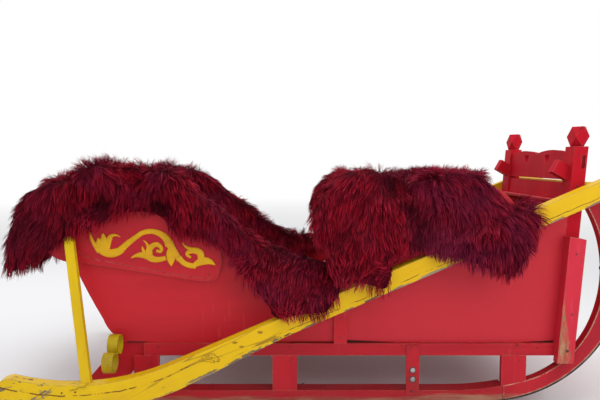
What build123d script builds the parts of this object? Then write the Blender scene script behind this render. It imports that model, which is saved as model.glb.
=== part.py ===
from build123d import *
import math
import os

os.makedirs("parts", exist_ok=True)

# Sizes in mm. X runs forward, Y to the sleigh's left and Z up from the snow under the shoes.
wall_face = 485  # half width over the side walls
wall_thick = 25
frame_face = 505  # half width over the sills and the runners

# Runners: a straight beam, a deep bent front and an iron shoe
shoe_thick = 11
shoe_width = 44
runner_rear = -1230
runner_joint = 890  # where the bent front meets the beam
runner_top = 84
runner_width = 85
bend_width = 50
nose_radius = 560
sweep_radius = 654  # lower sweep of the outer edge
sweep_x = 815
sweep_z = 692
inner_radius = 495
inner_x = 863
inner_z = 608
inner_upper_radius = 623
rise_radius = 2000  # gentle rise of the underside into the sweep
inner_rise_radius = 1400
runner_end_chamfer = 18

# Sills and what stands between them and the runners
sill_bottom = 257
sill_height = 59
sill_rear = -857
sill_width = 80
stanchion_thick = 28
stanchion_length = 120
stanchion_places = (-847, -174, 940)
bearer_length = 100
bearer_places = (-800, -174, 940)
brace_thick = 28
brace_rear = -1181  # foot of the leaning brace on the runner
brace_toe = -994
brace_top_rear = -978
brace_heel = 16  # how far the brace comes down past the sill
strap_x = 415
strap_width = 65
strap_thick = 5
strap_foot = 60
strap_inset = 6

# Body
floor_thick = 22
floor_rear = -925
back_thick = 22
back_inset = 4
panel_thick = 15
groove_width = 5
groove_depth = 3
carving_thick = 8
stroke_cuts = 5  # straight cuts along each stroke of the carvings
stake_x = 65
stake_width = 63
stake_thick = 20
stake_gap = 10  # below the edge of the step-in
rail_height = 1085  # walls beside the driver's seat
front_rail_height = 970
well_height = 690  # walls at the step-in
rear_height = 1095

# Seats
seat_board_thick = 22
seat_edge_radius = 6
riser_setback = 18
rear_seat_height = 600
rear_seat_front = -560
bench_back = 140
bench_back_thick = 24
bench_height = 640
bench_front = 560
bench_back_height = 1095
box_seat_rear = 520
box_seat_front = 800
box_seat_thick = 26
box_seat_corner = 20

# Front posts, knees and dash
lean = 0.075  # forward lean of the posts, mm for each mm of height
post_base_x = 1119.5  # rear face of the posts carried down to the snow
post_depth = 66
post_width = 100
post_top = 1270
knob_height = 96
post_slot_width = 17
post_slot_length = 66
post_slot_depth = 6
post_slot_height = 1162
knee_base_x = 1113
knee_depth = 78
knee_bottom = 232
knee_top = 842
knee_face = 550
knee_top_fall = 14
dash_thick = 30
dash_inset = 12
dash_joint = 1096  # top of the lower board
slot_gap = 15
dash_low = 1008
dash_crown = 1262
dash_dip = 18  # fall of the crest at its middle and ends
ledge_thick = 20
ledge_reach = 20
ledge_depth = 50
ledge_radius = 5
heart_place = 145
heart_drop = 38  # below the crest
heart_lobe = 15
horn_width = 60
crossbar_depth = 60
crossbar_height = 62
crossbar_bottom = 1036
crossbar_gap = 5  # between the posts and the crossbar
crossbar_chamfer = 6

# Outriggers
bar_height = 120  # at the rear sweep
bar_front_height = 88  # from the waist forward
bar_waist_x = -200
bar_thick = 65
bar_slope = 0.413
bar_line_height = 566  # top edge of the straight run above X = 0
bar_foot_x = -1110  # lowest place of the top edge
bar_foot_top = 197
bar_splay = 4.0
bar_front = 1440
bar_rear = -1396
bar_seat_x = 1375  # where the inner face meets the runner's flat side
prop_width = 44
prop_thick = 26
prop_foot_x = -1070
prop_foot_out = 22  # from the outrigger's inner face
prop_foot_height = 205
prop_head_x = -1213
prop_head_out = 8  # from the wing's face
prop_head_height = 905
scroll_x = -987
scroll_band = 50
scroll_iron = 6
scroll_upper_height = 320
scroll_upper_loop = 50
scroll_lower_out = 618
scroll_lower_height = 262

# Draw irons
forged_sides = 20  # flats round each forged ring
eye_height = 682
bolt_radius = 5
bolt_clear = 0.1
eye_hole = 6.6
eye_outer = 20
eye_thick = 14
eye_reach = 26
washer_thick = 3
washer_size = 26
nut_size = 20
nut_height = 8
shoe_past_bolt = 18  # how far the shoe runs up past the bolt
shackle_pin = 6.0
shackle_head = 11
shackle_leg = 10
shackle_gap = 1.2
shackle_drop = 62
pin_end = 6

# Fleece throws
throw_clear = 0.5
pile = 55  # thickness of a fleece that lies flat
hang_thick = 75  # and of one that hangs
lining_drop = 130  # how far the throws hang inside the walls
throw_inner = 395

# Long cutting blocks reach past the whole sleigh
far = 4 * runner_joint
sides = (("right", -1), ("left", 1))


def side_plane(side, face):
    return Plane.XZ.offset(-side * face)


def post_rear(height):
    return post_base_x + lean * height


def post_front(height):
    return post_rear(height) + post_depth


def tangent_rise(radius, floor_height, centre_x, centre_z, centre_radius):
    """Start and end of an arc that leaves a level line and runs into a smaller circle."""
    drop = floor_height + radius - centre_z
    reach = math.sqrt((radius - centre_radius) ** 2 - drop**2)
    start = (centre_x - reach, floor_height)
    scale = radius / (radius - centre_radius)
    end = (start[0] + reach * scale, floor_height + radius - drop * scale)
    return start, end


def on_circle(centre, radius, degrees):
    turn = math.radians(degrees)
    return (centre[0] + radius * math.cos(turn), centre[1] + radius * math.sin(turn))


# Outer edge of the bent front: level underside, rise, sweep and nose
sweep_centre = (sweep_x, sweep_z)
rise_start, rise_end = tangent_rise(rise_radius, shoe_thick, sweep_x, sweep_z, sweep_radius)
nose_turn = -20
nose_centre = on_circle(sweep_centre, sweep_radius - nose_radius, nose_turn)
nose_start = on_circle(sweep_centre, sweep_radius, nose_turn)
nose_crown = on_circle(nose_centre, nose_radius, 12)
nose_end_turn = 54
nose_end = on_circle(nose_centre, nose_radius, nose_end_turn)

# Inner edge of the bent front
inner_centre = (inner_x, inner_z)
inner_start, inner_end = tangent_rise(inner_rise_radius, runner_top, inner_x, inner_z, inner_radius)
inner_turn = -22
upper_start = on_circle(inner_centre, inner_radius, inner_turn)
upper_centre = on_circle(inner_centre, inner_radius - inner_upper_radius, inner_turn)
upper_mid = on_circle(upper_centre, inner_upper_radius, 10)
upper_end = on_circle(upper_centre, inner_upper_radius, 44)


def arc_mid(start, end, centre):
    """Point halfway round the arc from start to end."""
    radius = math.dist(start, centre)
    angle = [math.atan2(p[1] - centre[1], p[0] - centre[0]) for p in (start, end)]
    turn = (angle[0] + angle[1]) / 2
    return (centre[0] + radius * math.cos(turn), centre[1] + radius * math.sin(turn))


rise_mid = arc_mid(rise_start, rise_end, (rise_start[0], shoe_thick + rise_radius))
sweep_mid = arc_mid(rise_end, nose_start, sweep_centre)
inner_rise_mid = arc_mid(inner_start, inner_end, (inner_start[0], runner_top + inner_rise_radius))
inner_mid = arc_mid(inner_end, upper_start, inner_centre)


# Side outline of beam and bent front in one
with BuildSketch() as runner_outline:
    with BuildLine():
        Line((runner_rear, shoe_thick), rise_start)
        ThreePointArc(rise_start, rise_mid, rise_end)
        ThreePointArc(rise_end, sweep_mid, nose_start)
        ThreePointArc(nose_start, nose_crown, nose_end)
        Line(nose_end, upper_end)
        ThreePointArc(upper_end, upper_mid, upper_start)
        ThreePointArc(upper_start, inner_mid, inner_end)
        ThreePointArc(inner_end, inner_rise_mid, inner_start)
        Line(inner_start, (runner_rear, runner_top))
        Line((runner_rear, runner_top), (runner_rear, shoe_thick))
    make_face()


# Runner beams
for name, side in sides:
    with BuildPart() as runner:
        with BuildSketch(side_plane(side, frame_face)):
            add(runner_outline.sketch)
        extrude(amount=side * runner_width)
        split(bisect_by=Plane.YZ.offset(runner_joint), keep=Keep.BOTTOM)
        rear_edges = runner.edges().filter_by(Axis.Y).sort_by(Axis.X)[:2]
        chamfer(rear_edges, length=runner_end_chamfer)
    runner.part.label = f"runner_{name}"
    export_step(runner.part, f"parts/runner_{name}.step")

# Bent runner fronts, cut to the posts' front faces and under the crossbar
draw_half = frame_face - bend_width / 2
for name, side in sides:
    with BuildPart() as bend:
        with BuildSketch(side_plane(side, frame_face)):
            add(runner_outline.sketch)
        extrude(amount=side * bend_width)
        split(bisect_by=Plane.YZ.offset(runner_joint), keep=Keep.TOP)
        with BuildSketch(side_plane(side, frame_face)):
            with BuildLine():
                Polyline(
                    (runner_joint, knee_top),
                    (post_front(knee_top), knee_top),
                    (post_front(far), far),
                    (runner_joint, far),
                    close=True,
                )
            make_face()
            with Locations((runner_joint, crossbar_bottom)):
                Rectangle(far, far, align=(Align.MIN, Align.MIN))
        extrude(amount=side * bend_width, mode=Mode.SUBTRACT)
        with Locations(Plane((runner_joint, side * draw_half, eye_height), z_dir=(1, 0, 0))):
            Cylinder(bolt_radius + bolt_clear, 2 * far, mode=Mode.SUBTRACT)
    bend.part.label = f"runner_front_{name}"
    export_step(bend.part, f"parts/runner_front_{name}.step")

# Iron shoes
shoe_end_height = eye_height + shoe_past_bolt
shoe_top_turn = math.degrees(math.asin((shoe_end_height - nose_centre[1]) / nose_radius))
nose_out = nose_radius + shoe_thick
sweep_out = sweep_radius + shoe_thick
shoe_rear = runner_rear + runner_end_chamfer
under_start = (rise_start[0], 0)
under_centre = (rise_start[0], shoe_thick + rise_radius)
rise_aim = math.atan2(rise_end[1] - under_centre[1], rise_end[0] - under_centre[0])
under_end = on_circle(under_centre, rise_radius + shoe_thick, math.degrees(rise_aim))
for name, side in sides:
    with BuildPart() as shoe:
        with BuildSketch(side_plane(side, draw_half + shoe_width / 2)):
            with BuildLine():
                Line((shoe_rear, shoe_thick), rise_start)
                ThreePointArc(rise_start, rise_mid, rise_end)
                ThreePointArc(rise_end, sweep_mid, nose_start)
                ThreePointArc(
                    nose_start,
                    on_circle(nose_centre, nose_radius, (nose_turn + shoe_top_turn) / 2),
                    on_circle(nose_centre, nose_radius, shoe_top_turn),
                )
                Line(
                    on_circle(nose_centre, nose_radius, shoe_top_turn),
                    on_circle(nose_centre, nose_out, shoe_top_turn),
                )
                ThreePointArc(
                    on_circle(nose_centre, nose_out, shoe_top_turn),
                    on_circle(nose_centre, nose_out, (nose_turn + shoe_top_turn) / 2),
                    on_circle(sweep_centre, sweep_out, nose_turn),
                )
                ThreePointArc(
                    on_circle(sweep_centre, sweep_out, nose_turn),
                    arc_mid(under_end, on_circle(sweep_centre, sweep_out, nose_turn), sweep_centre),
                    under_end,
                )
                ThreePointArc(under_end, arc_mid(under_start, under_end, under_centre), under_start)
                Line(under_start, (shoe_rear, 0))
                Line((shoe_rear, 0), (shoe_rear, shoe_thick))
            make_face()
        extrude(amount=side * shoe_width)
        with Locations(Plane((runner_joint, side * draw_half, eye_height), z_dir=(1, 0, 0))):
            Cylinder(bolt_radius + bolt_clear, 2 * far, mode=Mode.SUBTRACT)
    shoe.part.label = f"runner_shoe_{name}"
    export_step(shoe.part, f"parts/runner_shoe_{name}.step")

# Sills under the side walls
sill_top = sill_bottom + sill_height
sill_front = post_front(sill_top)
for name, side in sides:
    with BuildPart() as sill:
        with BuildSketch(side_plane(side, frame_face)):
            with Locations((sill_rear, sill_bottom)):
                Rectangle(sill_front - sill_rear, sill_height, align=(Align.MIN, Align.MIN))
        extrude(amount=side * sill_width)
    sill.part.label = f"sill_{name}"
    export_step(sill.part, f"parts/sill_{name}.step")

# Stanchion planks between sill and runner
for name, side in sides:
    with BuildPart() as stanchions:
        with BuildSketch(side_plane(side, frame_face)):
            for place in stanchion_places:
                with Locations((place, runner_top)):
                    plank_height = sill_bottom - runner_top
                    Rectangle(stanchion_length, plank_height, align=(Align.CENTER, Align.MIN))
        extrude(amount=side * stanchion_thick)
        with BuildSketch(side_plane(side, frame_face)):
            add(runner_outline.sketch)
        extrude(amount=side * runner_width, mode=Mode.SUBTRACT)
    stanchions.part.label = f"stanchions_{name}"
    export_step(stanchions.part, f"parts/stanchions_{name}.step")

# Leaning brace planks at the rear
for name, side in sides:
    with BuildPart() as brace:
        with BuildSketch(side_plane(side, frame_face - stanchion_thick)):
            with BuildLine():
                Polyline(
                    (sill_rear, sill_top),
                    (sill_rear, sill_bottom - brace_heel),
                    (brace_toe, runner_top),
                    (brace_rear, runner_top),
                    (brace_top_rear, sill_top),
                    close=True,
                )
            make_face()
        extrude(amount=side * brace_thick)
    brace.part.label = f"rear_brace_{name}"
    export_step(brace.part, f"parts/rear_brace_{name}.step")

# Iron straps from sill to runner
for name, side in sides:
    with BuildPart() as strap:
        with BuildSketch(side_plane(side, frame_face + strap_thick)):
            with Locations((strap_x, strap_foot)):
                strap_length = sill_top - strap_inset - strap_foot
                Rectangle(strap_width, strap_length, align=(Align.MIN, Align.MIN))
            fillet(vertices(), radius=strap_inset)
        extrude(amount=side * strap_thick)
    strap.part.label = f"iron_strap_{name}"
    export_step(strap.part, f"parts/iron_strap_{name}.step")

# Cross bearers between the sills
sill_inner = frame_face - sill_width
with BuildPart() as bearers:
    with BuildSketch(Plane.XY.offset(sill_bottom)):
        for place in bearer_places:
            with Locations((place, 0)):
                Rectangle(bearer_length, 2 * sill_inner)
    extrude(amount=sill_height)
bearers.part.label = "bearers"
export_step(bearers.part, "parts/bearers.step")

# Side outline of the body: a curved back, a high rear side, the low step-in and the driver's rail
back_low = (-950, sill_top)
back_round = (-1012, 358)
back_knee = (-1058, 430)
back_mid = (-1134, 571)
back_wing = (-1222, 763)
back_top = (-1340, 1070)
rear_crest = (-940, 1084)
rear_shoulder = (-620, 985)
rear_slope = (-450, 900)
rear_foot = (-340, 800)
step_rear = (-170, well_height)
step_front = (-20, well_height)
rail_foot = (84, 880)
rail_rear = (190, rail_height)
rail_front = (800, rail_height)
rail_end = (1010, front_rail_height)
rail_turn = ((rail_front[0] + rail_end[0]) / 2, (rail_height + front_rail_height) / 2)
rail_bow = 12  # how far the double curve leaves its chord
rail_post = (post_rear(front_rail_height), front_rail_height)
wall_foot = (post_rear(sill_top), sill_top)

with BuildSketch() as wall_outline:
    with BuildLine():
        Line(back_low, wall_foot)
        Line(wall_foot, rail_post)
        Line(rail_post, rail_end)
        low_middle = ((rail_end[0] + rail_turn[0]) / 2, (rail_end[1] + rail_turn[1]) / 2 - rail_bow)
        ThreePointArc(rail_end, low_middle, rail_turn)
        high_middle = ((rail_front[0] + rail_turn[0]) / 2, (rail_front[1] + rail_turn[1]) / 2 + rail_bow)
        ThreePointArc(rail_turn, high_middle, rail_front)
        Line(rail_front, rail_rear)
        ThreePointArc(rail_rear, (118, 1010), rail_foot)
        ThreePointArc(rail_foot, (50, 745), step_front)
        Line(step_front, step_rear)
        ThreePointArc(step_rear, (-262, 720), rear_foot)
        ThreePointArc(rear_foot, rear_slope, rear_shoulder)
        ThreePointArc(rear_shoulder, rear_crest, back_top)
        Line(back_top, back_wing)
        ThreePointArc(back_wing, back_mid, back_knee)
        ThreePointArc(back_knee, back_round, back_low)
    make_face()


# Side walls
for name, side in sides:
    with BuildPart() as wall:
        with BuildSketch(side_plane(side, wall_face)):
            add(wall_outline.sketch)
        extrude(amount=side * wall_thick)
    wall.part.label = f"side_wall_{name}"
    export_step(wall.part, f"parts/side_wall_{name}.step")

# Shaped wings on the outside of the walls, with a bead groove above the lower edge
wing_lower = ((-1317, 763), (-1174, 714), (-920, 676), (-655, 632), (-544, 622), (-505, 632))
with BuildSketch() as wing_outline:
    with BuildLine():
        ThreePointArc(wing_lower[0], (-1262, 727), wing_lower[1])
        Line(wing_lower[1], wing_lower[2])
        Line(wing_lower[2], wing_lower[3])
        ThreePointArc(wing_lower[3], (-600, 624), wing_lower[4])
        ThreePointArc(wing_lower[4], (-521, 624), wing_lower[5])
        ThreePointArc(wing_lower[5], (-478, 710), (-500, 800))
        ThreePointArc((-500, 800), (-560, 900), (-680, 960))
        ThreePointArc((-680, 960), (-960, 1050), (-1330, 1050))
        ThreePointArc((-1330, 1050), (-1352, 900), wing_lower[0])
    make_face()
for name, side in sides:
    with BuildPart() as wing:
        with BuildSketch(side_plane(side, wall_face + panel_thick)):
            add(wing_outline.sketch)
        extrude(amount=side * panel_thick)
        with BuildSketch(side_plane(side, wall_face + panel_thick)):
            with BuildLine():
                Line((-1163, 763), (-1140, 744))
                Line((-1140, 744), (-1092, 729))
                Line((-1092, 729), (-919, 695))
                Line((-919, 695), (-655, 646))
                Line((-655, 646), (-540, 636))
                Line((-540, 636), (-520, 642))
                offset(amount=groove_width / 2, side=Side.BOTH, kind=Kind.INTERSECTION)
            make_face()
        extrude(amount=side * groove_depth, mode=Mode.SUBTRACT)
    wing.part.label = f"side_wing_{name}"
    export_step(wing.part, f"parts/side_wing_{name}.step")

# Leaf scroll carvings. Each stroke: start, middle and end of its centre line, and its width at each.
carving_strokes = (
    # stem and bowl of the calyx
    ((-1114, 869), (-1093, 809), (-1062, 766), 7, 17, 29),
    ((-1074, 783), (-1014, 757), (-952, 778), 24, 40, 31),
    # leaves in the calyx
    ((-1071, 771), (-1064, 802), (-1072, 831), 24, 36, 5),
    ((-1052, 766), (-1044, 809), (-1047, 853), 33, 38, 7),
    ((-1033, 769), (-1023, 809), (-1008, 838), 31, 31, 20),
    ((-1016, 831), (-993, 845), (-963, 836), 24, 13, 4),
    # the long arch and its fall
    ((-962, 773), (-919, 812), (-876, 843), 33, 27, 24),
    ((-885, 836), (-847, 859), (-800, 862), 24, 24, 24),
    ((-814, 864), (-757, 842), (-726, 795), 24, 31, 43),
    ((-731, 814), (-707, 766), (-676, 723), 38, 33, 26),
    ((-683, 742), (-654, 707), (-600, 695), 24, 26, 24),
    # hanging leaf
    ((-716, 785), (-721, 740), (-719, 695), 29, 43, 3),
    # rear curl with its tail and thorns
    ((-912, 734), (-869, 749), (-814, 740), 5, 26, 43),
    ((-833, 750), (-800, 727), (-745, 735), 38, 29, 21),
    ((-824, 738), (-825, 773), (-802, 796), 38, 31, 25),
    ((-809, 794), (-783, 798), (-765, 778), 24, 22, 17),
    ((-765, 785), (-771, 766), (-790, 771), 17, 16, 14),
    ((-852, 819), (-835, 800), (-826, 771), 5, 12, 24),
    ((-857, 790), (-854, 771), (-840, 747), 5, 14, 24),
    # front curl with its tail and thorn
    ((-614, 695), (-557, 720), (-509, 700), 19, 36, 5),
    ((-581, 709), (-582, 759), (-626, 770), 29, 33, 26),
    ((-619, 770), (-644, 754), (-624, 737), 26, 17, 12),
    ((-664, 809), (-647, 788), (-614, 773), 5, 12, 24),
)


def through(first, middle, last, share):
    """Value of the smooth curve through three values, at a share of its way."""
    return (
        first * (1 - share) * (1 - 2 * share)
        + middle * 4 * share * (1 - share)
        + last * share * (2 * share - 1)
    )


def stroke_edges(start, middle, end, widths):
    """Both edges of a stroke, as the short straight cuts of the gouge."""
    spine = []
    for cut in range(stroke_cuts + 1):
        share = cut / stroke_cuts
        x = through(start[0], middle[0], end[0], share)
        z = through(start[1], middle[1], end[1], share)
        spine.append((x, z, through(*widths, share)))
    upper, lower = [], []
    for place, (x, z, width) in enumerate(spine):
        before = spine[max(place - 1, 0)]
        after = spine[min(place + 1, stroke_cuts)]
        length = math.hypot(after[0] - before[0], after[1] - before[1])
        across = (-(after[1] - before[1]) / length * width / 2, (after[0] - before[0]) / length * width / 2)
        upper.append((x + across[0], z + across[1]))
        lower.append((x - across[0], z - across[1]))
    return upper, lower


with BuildSketch() as carving_outline:
    for start, middle, end, *widths in carving_strokes:
        upper, lower = stroke_edges(start, middle, end, widths)
        with BuildLine():
            Polyline(*upper, *reversed(lower), close=True)
        make_face()

carving_face = wall_face + panel_thick + carving_thick
for name, side in sides:
    with BuildPart() as carving:
        with BuildSketch(side_plane(side, carving_face)):
            add(carving_outline.sketch)
        extrude(amount=side * carving_thick)
    carving.part.label = f"carving_{name}"
    export_step(carving.part, f"parts/carving_{name}.step")

# Stakes on the wall behind the outrigger
stake_height = well_height - stake_gap - sill_top
for name, side in sides:
    with BuildPart() as stake:
        with BuildSketch(side_plane(side, wall_face + stake_thick)):
            with Locations((stake_x, sill_top)):
                Rectangle(stake_width, stake_height, align=(Align.MIN, Align.MIN))
        extrude(amount=side * stake_thick)
    stake.part.label = f"wall_stake_{name}"
    export_step(stake.part, f"parts/wall_stake_{name}.step")

# Front posts with faceted knobs
for name, side in sides:
    post_middle = side * (wall_face - post_width / 2)
    with BuildPart() as post:
        with BuildSketch(side_plane(side, wall_face)):
            with BuildLine():
                Polyline(
                    (post_rear(sill_top), sill_top),
                    (post_front(sill_top), sill_top),
                    (post_front(post_top), post_top),
                    (post_rear(post_top), post_top),
                    close=True,
                )
            make_face()
        extrude(amount=side * post_width)
    with BuildPart() as knob:
        half_x = post_depth / 2
        half_y = post_width / 2
        knob_middle = post_top + knob_height / 2
        for level, spread in ((post_top, 1), (knob_middle, 2), (post_top + knob_height, 1)):
            drift = post_rear(level) + half_x
            with BuildSketch(Plane((drift, post_middle, level))):
                Polygon(
                    (spread * half_x, 0),
                    (0, spread * half_y),
                    (-spread * half_x, 0),
                    (0, -spread * half_y),
                    align=None,
                )
        loft(ruled=True)
        with BuildSketch(side_plane(side, wall_face)):
            with BuildLine():
                Polyline(
                    (post_rear(post_top), post_top),
                    (post_front(post_top), post_top),
                    (post_front(post_top + knob_height), post_top + knob_height),
                    (post_rear(post_top + knob_height), post_top + knob_height),
                    close=True,
                )
            make_face()
        extrude(amount=side * post_width, mode=Mode.INTERSECT)
    slot_middle = post_slot_height + post_slot_length / 2
    slot_x = post_front(slot_middle) - post_slot_width
    with BuildPart() as front_post:
        add(post.part)
        add(knob.part)
        with BuildSketch(side_plane(side, wall_face)):
            with Locations((slot_x, slot_middle)):
                SlotOverall(post_slot_length, post_slot_width, rotation=90 - math.degrees(lean))
        extrude(amount=side * post_slot_depth, mode=Mode.SUBTRACT)
    front_post.part.label = f"front_post_{name}"
    export_step(front_post.part, f"parts/front_post_{name}.step")

# Knees outside the posts, housed over the sill and the runner
for name, side in sides:
    with BuildPart() as knee:
        with BuildSketch(side_plane(side, knee_face)):
            with BuildLine():
                Polyline(
                    (knee_base_x + lean * knee_bottom, knee_bottom),
                    (knee_base_x + lean * knee_bottom + knee_depth, knee_bottom),
                    (knee_base_x + lean * knee_top + knee_depth, knee_top - knee_top_fall),
                    (knee_base_x + lean * knee_top, knee_top),
                    close=True,
                )
            make_face()
        extrude(amount=side * (knee_face - wall_face))
        with BuildSketch(side_plane(side, frame_face)):
            with Locations((sill_rear, sill_bottom)):
                Rectangle(sill_front - sill_rear, sill_height, align=(Align.MIN, Align.MIN))
            with Locations((sill_rear, 0)):
                Rectangle(far, sill_bottom, align=(Align.MIN, Align.MIN))
        extrude(amount=side * sill_width, mode=Mode.SUBTRACT)
    knee.part.label = f"knee_{name}"
    export_step(knee.part, f"parts/knee_{name}.step")

# Floor boards
floor_top = sill_top + floor_thick
wall_inner = wall_face - wall_thick
with BuildPart() as floor:
    with BuildSketch(Plane.XZ.offset(wall_inner)):
        with Locations((floor_rear, sill_top)):
            Rectangle(post_rear(sill_top) - floor_rear, floor_thick, align=(Align.MIN, Align.MIN))
    extrude(amount=-2 * wall_inner)
floor.part.label = "floor"
export_step(floor.part, "parts/floor.step")

# Curved back panel between the walls, a little inside their rear edges
back_fall = (back_top[0] - back_wing[0]) / (back_top[1] - back_wing[1])
back_high = (back_top[0] + back_fall * back_top[1], 2 * back_top[1])
with BuildSketch() as back_cut:
    with BuildLine():
        Line(back_low, wall_foot)
        Line(wall_foot, (wall_foot[0], back_high[1]))
        Line((wall_foot[0], back_high[1]), back_high)
        Line(back_high, back_wing)
        ThreePointArc(back_wing, back_mid, back_knee)
        ThreePointArc(back_knee, back_round, back_low)
    make_face()
with BuildSketch() as back_outline:
    with Locations((back_inset, 0)):
        add(back_cut.sketch)
    with Locations((back_inset + back_thick, 0)):
        add(back_cut.sketch, mode=Mode.SUBTRACT)
    Rectangle(far, floor_top, align=(Align.CENTER, Align.MIN), mode=Mode.SUBTRACT)
    with Locations((0, rear_height - 30)):
        Rectangle(far, far, align=(Align.CENTER, Align.MIN), mode=Mode.SUBTRACT)
    Rectangle(far, far, align=(Align.MIN, Align.MIN), mode=Mode.SUBTRACT)
with BuildPart() as back:
    with BuildSketch(Plane.XZ.offset(wall_inner)):
        add(back_outline.sketch)
    extrude(amount=-2 * wall_inner)
back.part.label = "back_panel"
export_step(back.part, "parts/back_panel.step")


def back_at(height):
    """X of the back panel's inner face at a height."""
    for low, high in ((back_knee, back_mid), (back_mid, back_wing), (back_wing, back_top)):
        if height <= high[1]:
            share = (height - low[1]) / (high[1] - low[1])
            return low[0] + share * (high[0] - low[0]) + back_inset + back_thick
    return back_top[0]


# Seat boards and risers: name, rear X, front X, bottom Z, top Z
seat_rear_gap = 14
seat_rear = back_at(rear_seat_height) + seat_rear_gap
seat_under = rear_seat_height - seat_board_thick
bench_under = bench_height - seat_board_thick
bench_rear = bench_back + bench_back_thick
rear_riser_front = rear_seat_front - riser_setback
bench_riser_front = bench_front - riser_setback
boards = (
    ("rear_seat_board", seat_rear, rear_seat_front, seat_under, rear_seat_height),
    ("rear_seat_riser", rear_riser_front - seat_board_thick, rear_riser_front, floor_top, seat_under),
    ("bench_back", bench_back, bench_rear, floor_top, bench_back_height),
    ("bench_board", bench_rear, bench_front, bench_under, bench_height),
    ("bench_riser", bench_riser_front - seat_board_thick, bench_riser_front, floor_top, bench_under),
)
for name, rear, front, low, high in boards:
    with BuildPart() as board:
        with BuildSketch(Plane.XZ.offset(wall_inner)):
            with Locations((rear, low)):
                Rectangle(front - rear, high - low, align=(Align.MIN, Align.MIN))
        extrude(amount=-2 * wall_inner)
        front_edge = board.edges().filter_by(Axis.Y).group_by(Axis.Z)[-1].sort_by(Axis.X)[-1]
        fillet(front_edge, radius=seat_edge_radius)
    board.part.label = name
    export_step(board.part, f"parts/{name}.step")

# Driver's box seat laid across the tops of the walls
box_seat_length = box_seat_front - box_seat_rear
box_seat_top = rail_height + box_seat_thick
with BuildPart() as box_seat:
    with BuildSketch(Plane.XY.offset(rail_height)):
        with Locations((box_seat_rear + box_seat_length / 2, 0)):
            RectangleRounded(box_seat_length, 2 * wall_face, radius=box_seat_corner)
    extrude(amount=box_seat_thick)
box_seat.part.label = "driver_seat_board"
export_step(box_seat.part, "parts/driver_seat_board.step")

# Dash between the posts: toe panel, ledge, lower board and arched upper board with two hearts
post_inner = wall_face - post_width


def dash_plane(height):
    """Plane across the sleigh, leaning with the posts, on the boards' rear face."""
    return Plane(
        origin=(post_rear(height) + dash_inset, 0, height),
        x_dir=(0, 1, 0),
        z_dir=(1, 0, -lean),
    )


ledge_drop = lean * dash_thick  # the leaning boards' front edges stand this much lower
slope_scale = math.hypot(1, lean)  # length on the slope for each mm of height
toe_height = (dash_low - ledge_thick + ledge_drop) * slope_scale - floor_top
with BuildPart() as toe:
    with BuildSketch(dash_plane(0)):
        with Locations((0, floor_top)):
            Rectangle(2 * post_inner, toe_height, align=(Align.CENTER, Align.MIN))
    extrude(amount=dash_thick)
toe.part.label = "dash_toe_panel"
export_step(toe.part, "parts/dash_toe_panel.step")

with BuildPart() as ledge:
    with BuildSketch(Plane.XZ.offset(post_inner)):
        with Locations((post_rear(dash_low) - ledge_reach, dash_low - ledge_thick + ledge_drop)):
            Rectangle(ledge_reach + ledge_depth, ledge_thick, align=(Align.MIN, Align.MIN))
    extrude(amount=-2 * post_inner)
    rear_edges = ledge.edges().filter_by(Axis.Y).sort_by(Axis.X)[:2]
    fillet(rear_edges, radius=ledge_radius)
ledge.part.label = "dash_ledge"
export_step(ledge.part, "parts/dash_ledge.step")

lower_board_bottom = (dash_low + 2 * ledge_drop) * slope_scale
with BuildPart() as lower_board:
    with BuildSketch(dash_plane(0)):
        with Locations((0, lower_board_bottom)):
            lower_board_height = dash_joint - lower_board_bottom
            Rectangle(2 * post_inner, lower_board_height, align=(Align.CENTER, Align.MIN))
    extrude(amount=dash_thick)
lower_board.part.label = "dash_lower_board"
export_step(lower_board.part, "parts/dash_lower_board.step")

crest_end = (post_inner, dash_crown - dash_dip)
crest_top = (post_inner / 2, dash_crown)
crest_middle = (0, dash_crown - dash_dip)
with BuildPart() as upper_board:
    with BuildSketch(dash_plane(0)):
        with BuildLine():
            Line((0, dash_joint + slot_gap), (post_inner, dash_joint + slot_gap))
            Line((post_inner, dash_joint + slot_gap), crest_end)
            ThreePointArc(crest_end, crest_top, crest_middle)
            mirror(about=Plane.YZ)
        make_face()
        heart_height = dash_crown - heart_drop
        for place in (-heart_place, heart_place):
            lobe_out = heart_lobe * 0.95
            with Locations((place - lobe_out, heart_height), (place + lobe_out, heart_height)):
                Circle(heart_lobe, mode=Mode.SUBTRACT)
            with BuildLine():
                Polyline(
                    (place - heart_lobe * 1.77, heart_height - heart_lobe * 0.57),
                    (place, heart_height - heart_lobe * 2.3),
                    (place + heart_lobe * 1.77, heart_height - heart_lobe * 0.57),
                    (place, heart_height + heart_lobe * 0.31),
                    close=True,
                )
            make_face(mode=Mode.SUBTRACT)
    extrude(amount=dash_thick)
upper_board.part.label = "dash_upper_board"
export_step(upper_board.part, "parts/dash_upper_board.step")

# Horn blocks on the rear faces of the posts, each corner by its distance behind the post and its height
horn_corners = ((76, 1147), (48, 1207), (0, 1176), (0, 1105))
horn_points = [(post_rear(height) - behind, height) for behind, height in horn_corners]
for name, side in sides:
    with BuildPart() as horn:
        with BuildSketch(side_plane(side, post_inner + horn_width)):
            with BuildLine():
                Polyline(*horn_points, close=True)
            make_face()
        extrude(amount=side * horn_width)
    horn.part.label = f"dash_horn_{name}"
    export_step(horn.part, f"parts/dash_horn_{name}.step")

# Crossbar between the runner tips
with BuildPart() as crossbar:
    with BuildSketch(Plane.XZ.offset(frame_face)):
        with Locations((post_front(crossbar_bottom) + crossbar_gap, crossbar_bottom)):
            Rectangle(crossbar_depth, crossbar_height, align=(Align.MIN, Align.MIN))
    extrude(amount=-2 * frame_face)
    chamfer(crossbar.edges().filter_by(Axis.Y), length=crossbar_chamfer)
crossbar.part.label = "front_crossbar"
export_step(crossbar.part, "parts/front_crossbar.step")

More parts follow.
